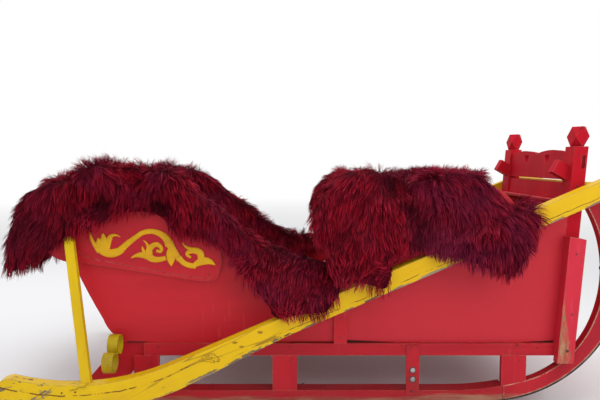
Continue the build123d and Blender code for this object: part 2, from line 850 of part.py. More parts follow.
# Outriggers: a straight pole swept into an upturned tail, splayed outwards towards the rear
bar_turn = math.atan(bar_slope)
bar_drop = bar_foot_top - bar_line_height - bar_slope * bar_foot_x
bar_bend = bar_drop / (1 / math.cos(bar_turn) - 1)
bar_centre = (bar_foot_x, bar_foot_top + bar_bend)
bar_tangent = (bar_foot_x + bar_bend * math.sin(bar_turn), bar_centre[1] - bar_bend * math.cos(bar_turn))
bar_tip_turn = math.asin((bar_foot_x - bar_rear) / bar_bend)
bar_normal = (math.sin(bar_turn), -math.cos(bar_turn))
bar_under = bar_bend + bar_height


def around_bar(radius, turn):
    return (bar_centre[0] + radius * math.sin(turn), bar_centre[1] - radius * math.cos(turn))


front_top = (bar_front, bar_line_height + bar_slope * bar_front)
lower_edge = (bar_front_height * bar_normal[0], bar_front_height * bar_normal[1])
front_low = (front_top[0] + lower_edge[0], front_top[1] + lower_edge[1])
waist_low = (bar_waist_x + lower_edge[0], bar_line_height + bar_slope * bar_waist_x + lower_edge[1])
with BuildSketch() as bar_outline:
    with BuildLine():
        Line(front_top, around_bar(bar_bend, bar_turn))
        ThreePointArc(
            around_bar(bar_bend, bar_turn),
            around_bar(bar_bend, (bar_turn - bar_tip_turn) / 2),
            around_bar(bar_bend, -bar_tip_turn),
        )
        ThreePointArc(
            around_bar(bar_bend, -bar_tip_turn),
            around_bar(bar_bend + bar_height * 0.45, -bar_tip_turn - 0.045),
            around_bar(bar_under, -bar_tip_turn + 0.04),
        )
        ThreePointArc(
            around_bar(bar_under, -bar_tip_turn + 0.04),
            around_bar(bar_under, (bar_turn - bar_tip_turn) / 2),
            around_bar(bar_under, bar_turn),
        )
        Line(around_bar(bar_under, bar_turn), waist_low)
        Line(waist_low, front_low)
        Line(front_low, front_top)
    make_face()


def bar_plane(side, outward):
    """Upright plane of the outrigger's inner face, moved outward by a distance."""
    splay = math.radians(bar_splay)
    along = (math.cos(splay), -side * math.sin(splay), 0)
    out = (math.sin(splay), side * math.cos(splay), 0)
    start_y = side * frame_face - along[1] * bar_seat_x / along[0]
    origin = (out[0] * outward, start_y + out[1] * outward, 0)
    return Plane(origin=origin, x_dir=along, z_dir=(-side * out[0], -side * out[1], 0))


for name, side in sides:
    with BuildPart() as bar:
        with BuildSketch(bar_plane(side, bar_thick)):
            add(bar_outline.sketch)
        extrude(amount=side * bar_thick)
        Box(far, 2 * frame_face, far, mode=Mode.SUBTRACT)
    bar.part.label = f"outrigger_{name}"
    export_step(bar.part, f"parts/outrigger_{name}.step")


def bar_inner_face(x):
    """How far out the outrigger's inner face stands at a place along the sleigh."""
    return frame_face + math.tan(math.radians(bar_splay)) * (bar_seat_x - x)


# Props from the outriggers up to the wings
wing_face = wall_face + panel_thick
prop_ends = {}
for name, side in sides:
    foot_out = side * (bar_inner_face(prop_foot_x) + prop_foot_out)
    foot = Vector(prop_foot_x, foot_out, prop_foot_height)
    head = Vector(prop_head_x, side * (wing_face + prop_head_out), prop_head_height)
    prop_ends[name] = (foot, head)
    run_out = (head - foot) * 0.1
    with BuildPart() as prop:
        with BuildSketch(Plane(origin=foot - run_out, x_dir=(1, 0, 0.2), z_dir=head - foot)):
            Rectangle(prop_width, prop_thick)
        extrude(amount=(head - foot).length * 1.2)
        with Locations((0, 0, prop_head_height)):
            Box(far, far, far, align=(Align.CENTER, Align.CENTER, Align.MIN), mode=Mode.SUBTRACT)
        Box(far, 2 * wing_face, far, mode=Mode.SUBTRACT)
        with BuildSketch(bar_plane(side, 2 * bar_thick)):
            add(bar_outline.sketch)
        extrude(amount=side * 3 * bar_thick, mode=Mode.SUBTRACT)
        add(prop.solids().sort_by(Axis.Z)[-1], mode=Mode.INTERSECT)
    prop.part.label = f"outrigger_prop_{name}"
    export_step(prop.part, f"parts/outrigger_prop_{name}.step")

# Scroll irons between body and outrigger: a flat band bent to an S across the sleigh, open at both ends
scroll_rear = scroll_x - scroll_band / 2
scroll_front = scroll_x + scroll_band / 2
upper_middle = (wall_face + scroll_upper_loop, scroll_upper_height)
upper_bend = scroll_upper_loop - scroll_iron / 2
lower_middle = (scroll_lower_out, scroll_lower_height)
lower_bend = bar_inner_face(scroll_front) - scroll_lower_out - scroll_iron / 2
waist_turn = math.degrees(
    math.atan2(lower_middle[1] - upper_middle[1], lower_middle[0] - upper_middle[0])
)
scroll_turn = 290  # how far each lobe runs from the waist
scroll_steps = 18  # hammer steps round each lobe
upper_lobe = []
lower_lobe = []
for step in range(scroll_steps + 1):
    turned = scroll_turn * step / scroll_steps
    upper_lobe.append(on_circle(upper_middle, upper_bend, waist_turn + scroll_turn - turned))
    lower_lobe.append(on_circle(lower_middle, lower_bend, waist_turn + 180 + turned))
with BuildSketch() as scroll_outline:
    with BuildLine():
        Polyline(*upper_lobe, *lower_lobe)
        offset(amount=scroll_iron / 2, side=Side.BOTH, kind=Kind.INTERSECTION)
    make_face()
for name, side in sides:
    with BuildPart() as scroll:
        with BuildSketch(Plane.YZ.offset(scroll_rear)):
            add(scroll_outline.sketch if side > 0 else scroll_outline.sketch.mirror(Plane.YZ))
        extrude(amount=scroll_band)
    scroll.part.label = f"scroll_iron_{name}"
    export_step(scroll.part, f"parts/scroll_iron_{name}.step")

# Eye bolts through the runner fronts, with square washers and nuts
eye_drop = eye_height - nose_centre[1]
nose_face = nose_centre[0] + math.sqrt((nose_radius + shoe_thick) ** 2 - eye_drop**2)
upper_drop = eye_height - upper_centre[1]
inner_face = upper_centre[0] + math.sqrt(inner_upper_radius**2 - upper_drop**2)
eye_x = nose_face + eye_reach
slope_gap = 0.6  # the washers clear the curved faces by this much at their middle
nut_face = inner_face - slope_gap - washer_thick - nut_height
for name, side in sides:
    with BuildPart() as eye:
        with BuildSketch(side_plane(side, draw_half + eye_thick / 2)):
            with Locations((eye_x, eye_height)):
                RegularPolygon(eye_outer, forged_sides)
        extrude(amount=side * eye_thick)
        with BuildSketch(Plane((nut_face - slope_gap, side * draw_half, eye_height), z_dir=(1, 0, 0))):
            RegularPolygon(bolt_radius, forged_sides // 2)
        extrude(amount=eye_x - nut_face)
        with BuildSketch(Plane((nose_face + slope_gap, side * draw_half, eye_height), z_dir=(1, 0, 0))):
            RegularPolygon(washer_size / 2, 8)
        extrude(amount=washer_thick)
        with BuildSketch(Plane((nut_face + nut_height, side * draw_half, eye_height), z_dir=(1, 0, 0))):
            RegularPolygon(washer_size / 2, 8)
        extrude(amount=washer_thick)
        with BuildSketch(Plane((nut_face, side * draw_half, eye_height), z_dir=(1, 0, 0))):
            RegularPolygon(nut_size / 2, 6)
        extrude(amount=nut_height)
        with Locations(Plane((eye_x, side * draw_half, eye_height), z_dir=(0, 1, 0))):
            Cylinder(eye_hole, 2 * eye_thick, mode=Mode.SUBTRACT)
    eye.part.label = f"draw_eye_{name}"
    export_step(eye.part, f"parts/draw_eye_{name}.step")

# Draw shackles hanging from the eyes: a bow of flat iron with round heads on a pin
bow_inner = eye_thick / 2 + shackle_gap
bow_outer = bow_inner + shackle_leg
for name, side in sides:
    with BuildPart() as shackle:
        with BuildSketch(Plane.YZ.offset(eye_x - shackle_leg / 2)):
            with Locations((side * draw_half, eye_height)):
                Rectangle(2 * bow_outer, shackle_drop, align=(Align.CENTER, Align.MAX))
                with Locations((0, -shackle_drop)):
                    RegularPolygon(bow_outer, forged_sides)
                    RegularPolygon(bow_inner, forged_sides, mode=Mode.SUBTRACT)
                Rectangle(2 * bow_inner, shackle_drop, align=(Align.CENTER, Align.MAX), mode=Mode.SUBTRACT)
        extrude(amount=shackle_leg)
        for leg_face in (bow_outer, -bow_inner):
            with BuildSketch(Plane.XZ.offset(-side * draw_half + leg_face)):
                with Locations((eye_x, eye_height)):
                    RegularPolygon(shackle_head, forged_sides)
            extrude(amount=-shackle_leg)
        with BuildSketch(Plane.XZ.offset(-side * draw_half + bow_outer + pin_end)):
            with Locations((eye_x, eye_height)):
                RegularPolygon(shackle_pin, forged_sides)
        extrude(amount=-2 * (bow_outer + pin_end))
    shackle.part.label = f"draw_shackle_{name}"
    export_step(shackle.part, f"parts/draw_shackle_{name}.step")

# Fleece throws. "drape": side outline of what hangs over a wall.
# "hangs": its section over the wall, by the stretch of X that it covers, how far out and how high its
# outer face starts, and the same where it ends. "middle": outline of what lies between the walls, which
# runs inside the boards that it covers and is cut back to their faces.
seat_in = rear_seat_height - seat_board_thick / 2
bench_in = bench_height - seat_board_thick / 2
bench_back_in = bench_back + bench_back_thick / 2
box_seat_in = rail_height + box_seat_thick / 2
rear_top = rear_height + pile
bench_top = bench_back_height + pile
driver_top = box_seat_top + pile
draw_front = eye_x + eye_outer
throws = {
    "rear_throw": {
        "drape": (
            (-1485, 690), (-1445, 870), (-1350, 1050), (-1130, 1180), (-880, 1200), (-690, 1135),
            (-420, 945), (-310, 840), (-150, 762), (-60, 752), (14, 715), (24, 600),
            (0, 487), (-230, 510), (-450, 710), (-510, 795), (-620, 805), (-720, 850),
            (-790, 942), (-960, 930), (-1160, 822), (-1290, 745), (-1385, 650), (-1440, 645),
        ),
        "hangs": (
            (-far, -470, 565, 1200, 575, 600),
            (-471, -320, 560, 800, 655, 600),
            (-321, far, 545, 760, 755, 470),
        ),
        "middle": (
            (-1450, 640), (-draw_front, 700), (-1460, 900), (-1385, rear_top - 40), (-1320, rear_top),
            (-1250, rear_top - 60), (-1130, 770), (-1060, rear_seat_height + pile + 25),
            (-980, rear_seat_height + pile), (rear_seat_front, rear_seat_height + pile),
            (rear_seat_front + pile, rear_seat_height), (rear_seat_front + pile, 440),
            (rear_seat_front + 1, 440), (rear_seat_front + 1, rear_seat_height - seat_board_thick - 1),
            (rear_seat_front - 8, seat_in), (-1080, seat_in), (-1190, 750), (-1320, rear_height - 34),
            (-1400, 1000), (-1420, 800),
        ),
    },
    "bench_throw": {
        "drape": (
            (36, 743), (-30, 905), (20, 1060), (95, 1145), (230, 1168), (330, 1168),
            (392, 1130), (395, 960), (388, 808), (345, 730), (324, 632), (275, 600),
            (215, 629), (150, 648), (88, 622), (50, 670),
        ),
        "hangs": ((-far, far, 550, 1110, 725, 640),),
        "middle": (
            (bench_back - pile, 700), (bench_back - pile, bench_top - 50), (bench_back - 20, bench_top),
            (bench_rear + 30, bench_top), (bench_rear + pile, bench_top - 50), (bench_rear + pile, 760),
            (300, bench_height + pile), (bench_front, bench_height + pile),
            (bench_front + pile, bench_height), (bench_front + pile, 480), (bench_front + 1, 480),
            (bench_front + 1, bench_under - 1),
            (bench_front - 8, bench_in), (bench_back_in, bench_in), (bench_back_in, bench_back_height - 5),
            (bench_back - 1, bench_back_height - 5), (bench_back - 1, 700),
        ),
    },
    "driver_throw": {
        "drape": (
            (400, 1110), (480, 1158), (620, 1172), (740, 1163), (800, 1120), (850, 1062),
            (920, 1025), (1000, 1010), (1041, 972), (1010, 870), (959, 735), (925, 655),
            (850, 649), (740, 700), (615, 739), (500, 775), (400, 800), (400, 955),
        ),
        "hangs": ((-far, far, 560, 1110, 695, 760),),
        "middle": (
            (box_seat_rear - pile, 960), (box_seat_rear - pile, driver_top - 40),
            (box_seat_rear - 20, driver_top), (box_seat_front, driver_top),
            (box_seat_front + pile, driver_top - 50), (box_seat_front + pile, 860),
            (box_seat_front + 1, 860), (box_seat_front + 1, rail_height - 1),
            (box_seat_front - 20, box_seat_in), (box_seat_rear + 20, box_seat_in),
            (box_seat_rear - 1, rail_height - 1), (box_seat_rear - 1, 960),
        ),
    },
}
for name, throw in throws.items():
    with BuildSketch() as drape_outline:
        with BuildLine():
            Polyline(*throw["drape"], close=True)
        make_face()
    drapes = []
    for side_name, side in sides:
        with BuildPart() as drape:
            for rear, front, top_out, top, low_out, low in throw["hangs"]:
                with BuildSketch(Plane.YZ.offset(rear)):
                    with BuildLine():
                        Polyline(
                            (side * throw_inner, 0),
                            (side * throw_inner, far),
                            (side * top_out, far),
                            (side * top_out, top),
                            (side * low_out, low),
                            (side * low_out, 0),
                            close=True,
                        )
                    make_face()
                    with BuildLine():
                        Polyline(
                            (side * (carving_face + throw_clear), 0),
                            (side * (low_out - hang_thick), 0),
                            (side * (low_out - hang_thick), low),
                            (side * (carving_face + throw_clear), low + 0.5 * (top - low)),
                            close=True,
                        )
                    make_face(mode=Mode.SUBTRACT)
                extrude(amount=front - rear)
            with BuildSketch(Plane.XZ.offset(-far)):
                add(drape_outline.sketch)
            extrude(amount=2 * far, mode=Mode.INTERSECT)
        drapes.append(drape)
    with BuildPart() as fleece:
        with BuildSketch(Plane.XZ.offset(throw_inner)):
            with BuildLine():
                Polyline(*throw["middle"], close=True)
            make_face()
        extrude(amount=-2 * throw_inner)
        for drape in drapes:
            add(drape.part)
        for side_name, side in sides:
            with BuildSketch(side_plane(side, wall_inner - throw_clear)):
                add(wall_outline.sketch)
                offset(amount=throw_clear)
            wall_reach = carving_face + 2 * throw_clear - wall_inner
            extrude(amount=-side * wall_reach, mode=Mode.SUBTRACT)
            with BuildSketch(side_plane(side, throw_inner)):
                with Locations((0, -lining_drop)):
                    add(wall_outline.sketch)
                Rectangle(far, rear_seat_height, align=(Align.CENTER, Align.MIN))
            extrude(amount=-side * (wall_inner - throw_clear - throw_inner), mode=Mode.SUBTRACT)
            with BuildSketch(side_plane(side, wall_face)):
                add(wing_outline.sketch)
                offset(amount=throw_clear)
            extrude(amount=-side * (carving_face + throw_clear - wall_face), mode=Mode.SUBTRACT)
            with BuildSketch(side_plane(side, wall_face)):
                with Locations((stake_x - throw_clear, sill_top)):
                    stake_cut = (stake_width + 2 * throw_clear, stake_height + throw_clear)
                    Rectangle(*stake_cut, align=(Align.MIN, Align.MIN))
            extrude(amount=-side * (stake_thick + throw_clear), mode=Mode.SUBTRACT)
            with BuildSketch(bar_plane(side, bar_thick + throw_clear)):
                add(bar_outline.sketch)
                offset(amount=throw_clear, kind=Kind.INTERSECTION)
            extrude(amount=side * (bar_thick + 2 * throw_clear), mode=Mode.SUBTRACT)
            foot, head = prop_ends[side_name]
            with BuildSketch(Plane(origin=foot, x_dir=(1, 0, 0.2), z_dir=head - foot)):
                Rectangle(prop_width + 2 * throw_clear, prop_thick + 2 * throw_clear)
            extrude(amount=(head - foot).length + prop_thick, mode=Mode.SUBTRACT)
        with BuildSketch(Plane.XZ.offset(wall_inner)):
            add(back_outline.sketch)
            offset(amount=throw_clear, kind=Kind.INTERSECTION)
        extrude(amount=-2 * wall_inner, mode=Mode.SUBTRACT)
        with BuildSketch(Plane.XZ.offset(wall_inner)):
            for board_name, rear, front, low, high in boards:
                with Locations((rear - throw_clear, low - throw_clear)):
                    board_size = (front - rear + 2 * throw_clear, high - low + 2 * throw_clear)
                    Rectangle(*board_size, align=(Align.MIN, Align.MIN))
        extrude(amount=-2 * wall_inner, mode=Mode.SUBTRACT)
        with BuildSketch(Plane.XY.offset(rail_height - throw_clear)):
            with Locations((box_seat_rear + box_seat_length / 2, 0)):
                Rectangle(box_seat_length + 2 * throw_clear, 2 * (wall_face + throw_clear))
        extrude(amount=box_seat_thick + 2 * throw_clear, mode=Mode.SUBTRACT)
    fleece.part.label = name
    export_step(fleece.part, f"parts/{name}.step")
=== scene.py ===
import math

import bpy
import numpy as np
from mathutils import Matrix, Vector
from mathutils.bvhtree import BVHTree
from mathutils.kdtree import KDTree


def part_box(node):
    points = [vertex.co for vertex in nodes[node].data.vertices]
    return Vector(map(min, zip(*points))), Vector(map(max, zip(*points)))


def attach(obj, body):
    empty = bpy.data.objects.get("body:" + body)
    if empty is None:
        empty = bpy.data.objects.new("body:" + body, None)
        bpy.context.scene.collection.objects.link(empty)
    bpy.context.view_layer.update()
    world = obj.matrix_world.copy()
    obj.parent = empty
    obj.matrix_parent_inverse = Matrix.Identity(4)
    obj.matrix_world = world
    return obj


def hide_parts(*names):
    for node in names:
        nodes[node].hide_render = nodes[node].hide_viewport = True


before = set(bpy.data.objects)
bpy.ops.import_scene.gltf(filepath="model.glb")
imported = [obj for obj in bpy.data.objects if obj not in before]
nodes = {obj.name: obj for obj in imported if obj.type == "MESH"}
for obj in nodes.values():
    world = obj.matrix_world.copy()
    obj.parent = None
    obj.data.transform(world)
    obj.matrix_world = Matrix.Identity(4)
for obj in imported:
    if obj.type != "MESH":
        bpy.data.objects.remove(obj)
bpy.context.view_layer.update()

sides = (("right", -1), ("left", 1))
print("frame loaded,", len(nodes), "nodes")

# camera where the photograph was taken from
photoView = {
    "place": (-0.10, -3.365, 1.20),
    "pitchDown": 3.719,   # degrees
    "lens": 36.0,         # on a 36 mm wide sensor
}


def makeCamera(view):
    data = bpy.data.cameras.new("photoCamera")
    data.lens = view["lens"]
    data.sensor_width = 36.0
    data.sensor_fit = "HORIZONTAL"
    data.clip_end = 900
    camera = bpy.data.objects.new("photoCamera", data)
    bpy.context.scene.collection.objects.link(camera)
    camera.location = view["place"]
    camera.rotation_euler = (math.radians(90 - view["pitchDown"]), 0, 0)
    bpy.context.scene.camera = camera


makeCamera(photoView)


# small helpers for colours and node trees
# a colour given 0 to 255, as the renderer wants it
def srgb(red, green, blue):
    values = []
    for value in (red, green, blue):
        share = value / 255
        values.append(share / 12.92 if share <= 0.04045 else ((share + 0.055) / 1.055) ** 2.4)
    return (*values, 1.0)


def link(tree, source, target):
    tree.links.new(source, target)


# gives a socket a number or colour, or joins it to another socket
def feed(tree, socket, value):
    if isinstance(value, bpy.types.NodeSocket):
        tree.links.new(value, socket)
    else:
        socket.default_value = value


def addNode(tree, kind, values=None, **settings):
    node = tree.nodes.new(kind)
    for name, value in settings.items():
        setattr(node, name, value)
    for name, value in (values or {}).items():
        feed(tree, node.inputs[name], value)
    return node


def newGroup(name, inputs, outputs):
    group = bpy.data.node_groups.new(name, "ShaderNodeTree")
    for label, kind, value in inputs:
        socket = group.interface.new_socket(name=label, in_out="INPUT", socket_type=kind)
        socket.default_value = value
    for label, kind in outputs:
        group.interface.new_socket(name=label, in_out="OUTPUT", socket_type=kind)
    start = group.nodes.new("NodeGroupInput")
    end = group.nodes.new("NodeGroupOutput")
    return group, start, end


def useGroup(tree, group, values):
    node = tree.nodes.new("ShaderNodeGroup")
    node.node_tree = group
    for name, value in values.items():
        feed(tree, node.inputs[name], value)
    return node


def mixColour(tree, factor, first, second):
    node = tree.nodes.new("ShaderNodeMix")
    node.data_type = "RGBA"
    feed(tree, node.inputs[0], factor)
    feed(tree, node.inputs[6], first)
    feed(tree, node.inputs[7], second)
    return node.outputs[2]


def ramp(tree, source, low, high, lowValue=0.0, highValue=1.0):
    node = addNode(tree, "ShaderNodeMapRange", {
        "Value": source, "From Min": low, "From Max": high, "To Min": lowValue, "To Max": highValue,
    })
    return node.outputs["Result"]


def maths(tree, operation, first, second=0.0):
    node = tree.nodes.new("ShaderNodeMath")
    node.operation = operation
    feed(tree, node.inputs[0], first)
    feed(tree, node.inputs[1], second)
    return node.outputs[0]


def times(tree, first, second):
    return maths(tree, "MULTIPLY", first, second)


def plus(tree, first, second):
    return maths(tree, "ADD", first, second)


def minus(tree, first, second):
    return maths(tree, "SUBTRACT", first, second)


def larger(tree, first, second):
    return maths(tree, "MAXIMUM", first, second)


def unsigned(tree, value):
    return maths(tree, "ABSOLUTE", value)


def axes(tree, vector):
    return addNode(tree, "ShaderNodeSeparateXYZ", {0: vector}).outputs


def noise(tree, place, size, detail=3.0, roughness=0.55):
    node = addNode(tree, "ShaderNodeTexNoise", {
        "Vector": place, "Scale": size, "Detail": detail, "Roughness": roughness,
    })
    return node.outputs["Fac"]


def objectPlace(tree):
    return tree.nodes.new("ShaderNodeTexCoord").outputs["Object"]


# turns places so that X runs along a board, and stretches them along it
def alongBoard(tree, place, turn, stretch):
    turned = addNode(tree, "ShaderNodeMapping", {"Vector": place, "Rotation": (0, math.radians(turn), 0)})
    pulled = addNode(tree, "ShaderNodeMapping", {"Vector": turned.outputs[0], "Scale": (1 / stretch, 1, 1)})
    return turned.outputs[0], pulled.outputs[0]


def newMaterial(name, **fixed):
    material = bpy.data.materials.new(name)
    material.use_nodes = True
    surface = material.node_tree.nodes["Principled BSDF"]
    for label, value in fixed.items():
        surface.inputs[label.replace("_", " ")].default_value = value
    return material, material.node_tree, surface


def addBump(tree, surface, height, distance):
    bump = addNode(tree, "ShaderNodeBump", {"Height": height, "Distance": distance, "Strength": 1.0})
    link(tree, bump.outputs["Normal"], surface.inputs["Normal"])


# stage: pale floor that runs out to white, white surround and soft lamps
stageLook = {
    "floorSize": 500,
    "floorTone": (0.88, 0.88, 0.90, 1),
    "whiteFrom": 3.5,     # metres from the sleigh where the floor starts to run out to white
    "whiteAt": 16.0,
    "skyStrength": 0.72,
    "lamps": (
        # name, place, aim, size, power
        ("overhead", (0.2, -0.8, 4.4), (0, 0, 0.6), 4.0, 80),
        ("frontRight", (2.9, -4.4, 3.0), (0.3, 0, 0.6), 3.0, 62),
        ("farLeft", (-3.4, 2.6, 3.2), (-0.4, 0, 0.8), 2.5, 30),
    ),
}


def makeStage(look):
    bpy.ops.mesh.primitive_plane_add(size=look["floorSize"], location=(0, 0, 0))
    floor = bpy.context.object
    floor.name = "paleFloor"
    material, tree, surface = newMaterial("paleFloor", Roughness=0.9)
    surface.inputs["Base Color"].default_value = look["floorTone"]
    away = addNode(tree, "ShaderNodeVectorMath", {0: objectPlace(tree)}, operation="LENGTH")
    white = addNode(tree, "ShaderNodeEmission", {"Color": (1, 1, 1, 1), "Strength": 1.0})
    blend = addNode(tree, "ShaderNodeMixShader", {
        0: ramp(tree, away.outputs["Value"], look["whiteFrom"], look["whiteAt"]),
    })
    link(tree, surface.outputs[0], blend.inputs[1])
    link(tree, white.outputs[0], blend.inputs[2])
    link(tree, blend.outputs[0], tree.nodes["Material Output"].inputs["Surface"])
    floor.data.materials.append(material)

    world = bpy.data.worlds.new("paleSky")
    bpy.context.scene.world = world
    world.use_nodes = True
    tree = world.node_tree
    tree.nodes.clear()
    output = tree.nodes.new("ShaderNodeOutputWorld")
    path = tree.nodes.new("ShaderNodeLightPath")
    lit = addNode(tree, "ShaderNodeBackground", {"Color": (1, 1, 1, 1), "Strength": look["skyStrength"]})
    seen = addNode(tree, "ShaderNodeBackground", {"Color": (1, 1, 1, 1), "Strength": 1.0})
    direct = larger(tree, path.outputs["Is Camera Ray"], path.outputs["Is Glossy Ray"])
    direct = larger(tree, direct, path.outputs["Is Transmission Ray"])
    mix = addNode(tree, "ShaderNodeMixShader", {0: direct})
    link(tree, lit.outputs[0], mix.inputs[1])
    link(tree, seen.outputs[0], mix.inputs[2])
    link(tree, mix.outputs[0], output.inputs["Surface"])

    for name, place, aim, size, power in look["lamps"]:
        data = bpy.data.lights.new(name, "AREA")
        data.size = size
        data.energy = power
        lamp = bpy.data.objects.new(name, data)
        lamp.location = place
        lamp.rotation_euler = (Vector(aim) - Vector(place)).to_track_quat("-Z", "Y").to_euler()
        bpy.context.scene.collection.objects.link(lamp)
    bpy.context.scene.view_settings.view_transform = "Standard"


makeStage(stageLook)
print("stage ready")


# shared effects, each built once as a node group
# paint colour that drifts between two tones, as brush work and weather leave it
def brushedToneGroup():
    group, start, end = newGroup("brushedTone", (
        ("Place", "NodeSocketVector", (0, 0, 0)),
        ("Colour", "NodeSocketColor", (0.5, 0.05, 0.05, 1)),
        ("Second", "NodeSocketColor", (0.4, 0.03, 0.03, 1)),
        ("Size", "NodeSocketFloat", 4.0),
        ("Amount", "NodeSocketFloat", 0.6),
    ), (("Colour", "NodeSocketColor"),))
    place, size = start.outputs["Place"], start.outputs["Size"]
    broad = ramp(group, noise(group, place, size, 2.0), 0.36, 0.64)
    fine = ramp(group, noise(group, place, times(group, size, 9.0), 3.0), 0.3, 0.7, -0.25, 0.25)
    share = times(group, plus(group, broad, fine), start.outputs["Amount"])
    link(group, mixColour(group, share, start.outputs["Colour"], start.outputs["Second"]), end.inputs[0])
    return group


# mask that is white in patches along edges, where paint rubs off; on the carving it lays painted shade along the relief
# edges
def edgePatchesGroup():
    group, start, end = newGroup("edgePatches", (
        ("Place", "NodeSocketVector", (0, 0, 0)),
        ("Radius", "NodeSocketFloat", 0.004),
        ("Size", "NodeSocketFloat", 40.0),
        ("Amount", "NodeSocketFloat", 0.5),
    ), (("Mask", "NodeSocketFloat"),))
    rounded = addNode(group, "ShaderNodeBevel", {"Radius": start.outputs["Radius"]}, samples=4)
    geometry = group.nodes.new("ShaderNodeNewGeometry")
    likeness = addNode(group, "ShaderNodeVectorMath", {
        0: rounded.outputs["Normal"], 1: geometry.outputs["Normal"],
    }, operation="DOT_PRODUCT")
    edge = ramp(group, likeness.outputs["Value"], 0.995, 0.86)
    patches = ramp(group, noise(group, start.outputs["Place"], start.outputs["Size"], 5.0, 0.65), 0.3, 0.7)
    total = times(group, edge, plus(group, patches, start.outputs["Amount"]))
    link(group, ramp(group, total, 0.62, 0.74), end.inputs[0])
    return group


# grain along X, and fine cracks that open in places
def woodGrainGroup():
    group, start, end = newGroup("woodGrain", (
        ("Place", "NodeSocketVector", (0, 0, 0)),
        ("Size", "NodeSocketFloat", 60.0),
        ("Cracks", "NodeSocketFloat", 0.3),
    ), (("Grain", "NodeSocketFloat"), ("Crack", "NodeSocketFloat")))
    place, size = start.outputs["Place"], start.outputs["Size"]
    fibres = noise(group, place, size, 5.0, 0.65)
    drawn = addNode(group, "ShaderNodeMapping", {"Vector": place, "Scale": (0.12, 1, 1)})
    wide = noise(group, drawn.outputs[0], times(group, size, 0.3), 2.0)
    crest = unsigned(group, minus(group, wide, 0.5))
    opened = ramp(group, noise(group, place, times(group, size, 0.11), 2.0), 0.62, 0.52)
    thin = ramp(group, crest, 0.010, 0.003)
    link(group, fibres, end.inputs["Grain"])
    reach = times(group, times(group, thin, minus(group, 1.0, opened)),
                  start.outputs["Cracks"])
    link(group, reach, end.inputs["Crack"])
    return group


# mask of sharp-edged chips scattered over a surface
def chipsGroup():
    group, start, end = newGroup("paintChips", (
        ("Place", "NodeSocketVector", (0, 0, 0)),
        ("Size", "NodeSocketFloat", 30.0),
        ("Share", "NodeSocketFloat", 0.1),
    ), (("Mask", "NodeSocketFloat"),))
    field = noise(group, start.outputs["Place"], start.outputs["Size"], 6.0, 0.62)
    level = minus(group, 0.74, times(group, start.outputs["Share"], 0.36))
    above = minus(group, field, level)
    link(group, ramp(group, above, 0.0, 0.02), end.inputs[0])
    return group


# mask of dull brown patches that grow denser towards the ground
def lowBrownGroup():
    group, start, end = newGroup("lowBrown", (
        ("Place", "NodeSocketVector", (0, 0, 0)),
        ("Top", "NodeSocketFloat", 0.3),
        ("Size", "NodeSocketFloat", 9.0),
    ), (("Mask", "NodeSocketFloat"),))
    apart = axes(group, start.outputs["Place"])
    drop = maths(group, "DIVIDE", apart["Z"], start.outputs["Top"])
    low = ramp(group, drop, 1.0, 0.0)
    patches = ramp(group, noise(group, start.outputs["Place"], start.outputs["Size"], 6.0, 0.7), 0.35, 0.72)
    link(group, times(group, low, patches), end.inputs[0])
    return group


# thin pale upright scuffs
def scuffGroup():
    group, start, end = newGroup("scuffs", (
        ("Place", "NodeSocketVector", (0, 0, 0)),
        ("Size", "NodeSocketFloat", 5.0),
        ("Share", "NodeSocketFloat", 0.3),
    ), (("Mask", "NodeSocketFloat"),))
    pulled = addNode(group, "ShaderNodeMapping", {
        "Vector": start.outputs["Place"], "Rotation": (0, 0.12, 0), "Scale": (9, 9, 1),
    })
    streaks = noise(group, pulled.outputs[0], start.outputs["Size"], 4.0, 0.6)
    where = ramp(group, noise(group, start.outputs["Place"], 3.1, 2.0), 0.5, 0.72)
    mask = times(group, ramp(group, streaks, 0.58, 0.74), where)
    link(group, times(group, mask, start.outputs["Share"]), end.inputs[0])
    return group


brushedTone = brushedToneGroup()
edgePatches = edgePatchesGroup()
woodGrain = woodGrainGroup()
paintChips = chipsGroup()
lowBrown = lowBrownGroup()
scuffs = scuffGroup()
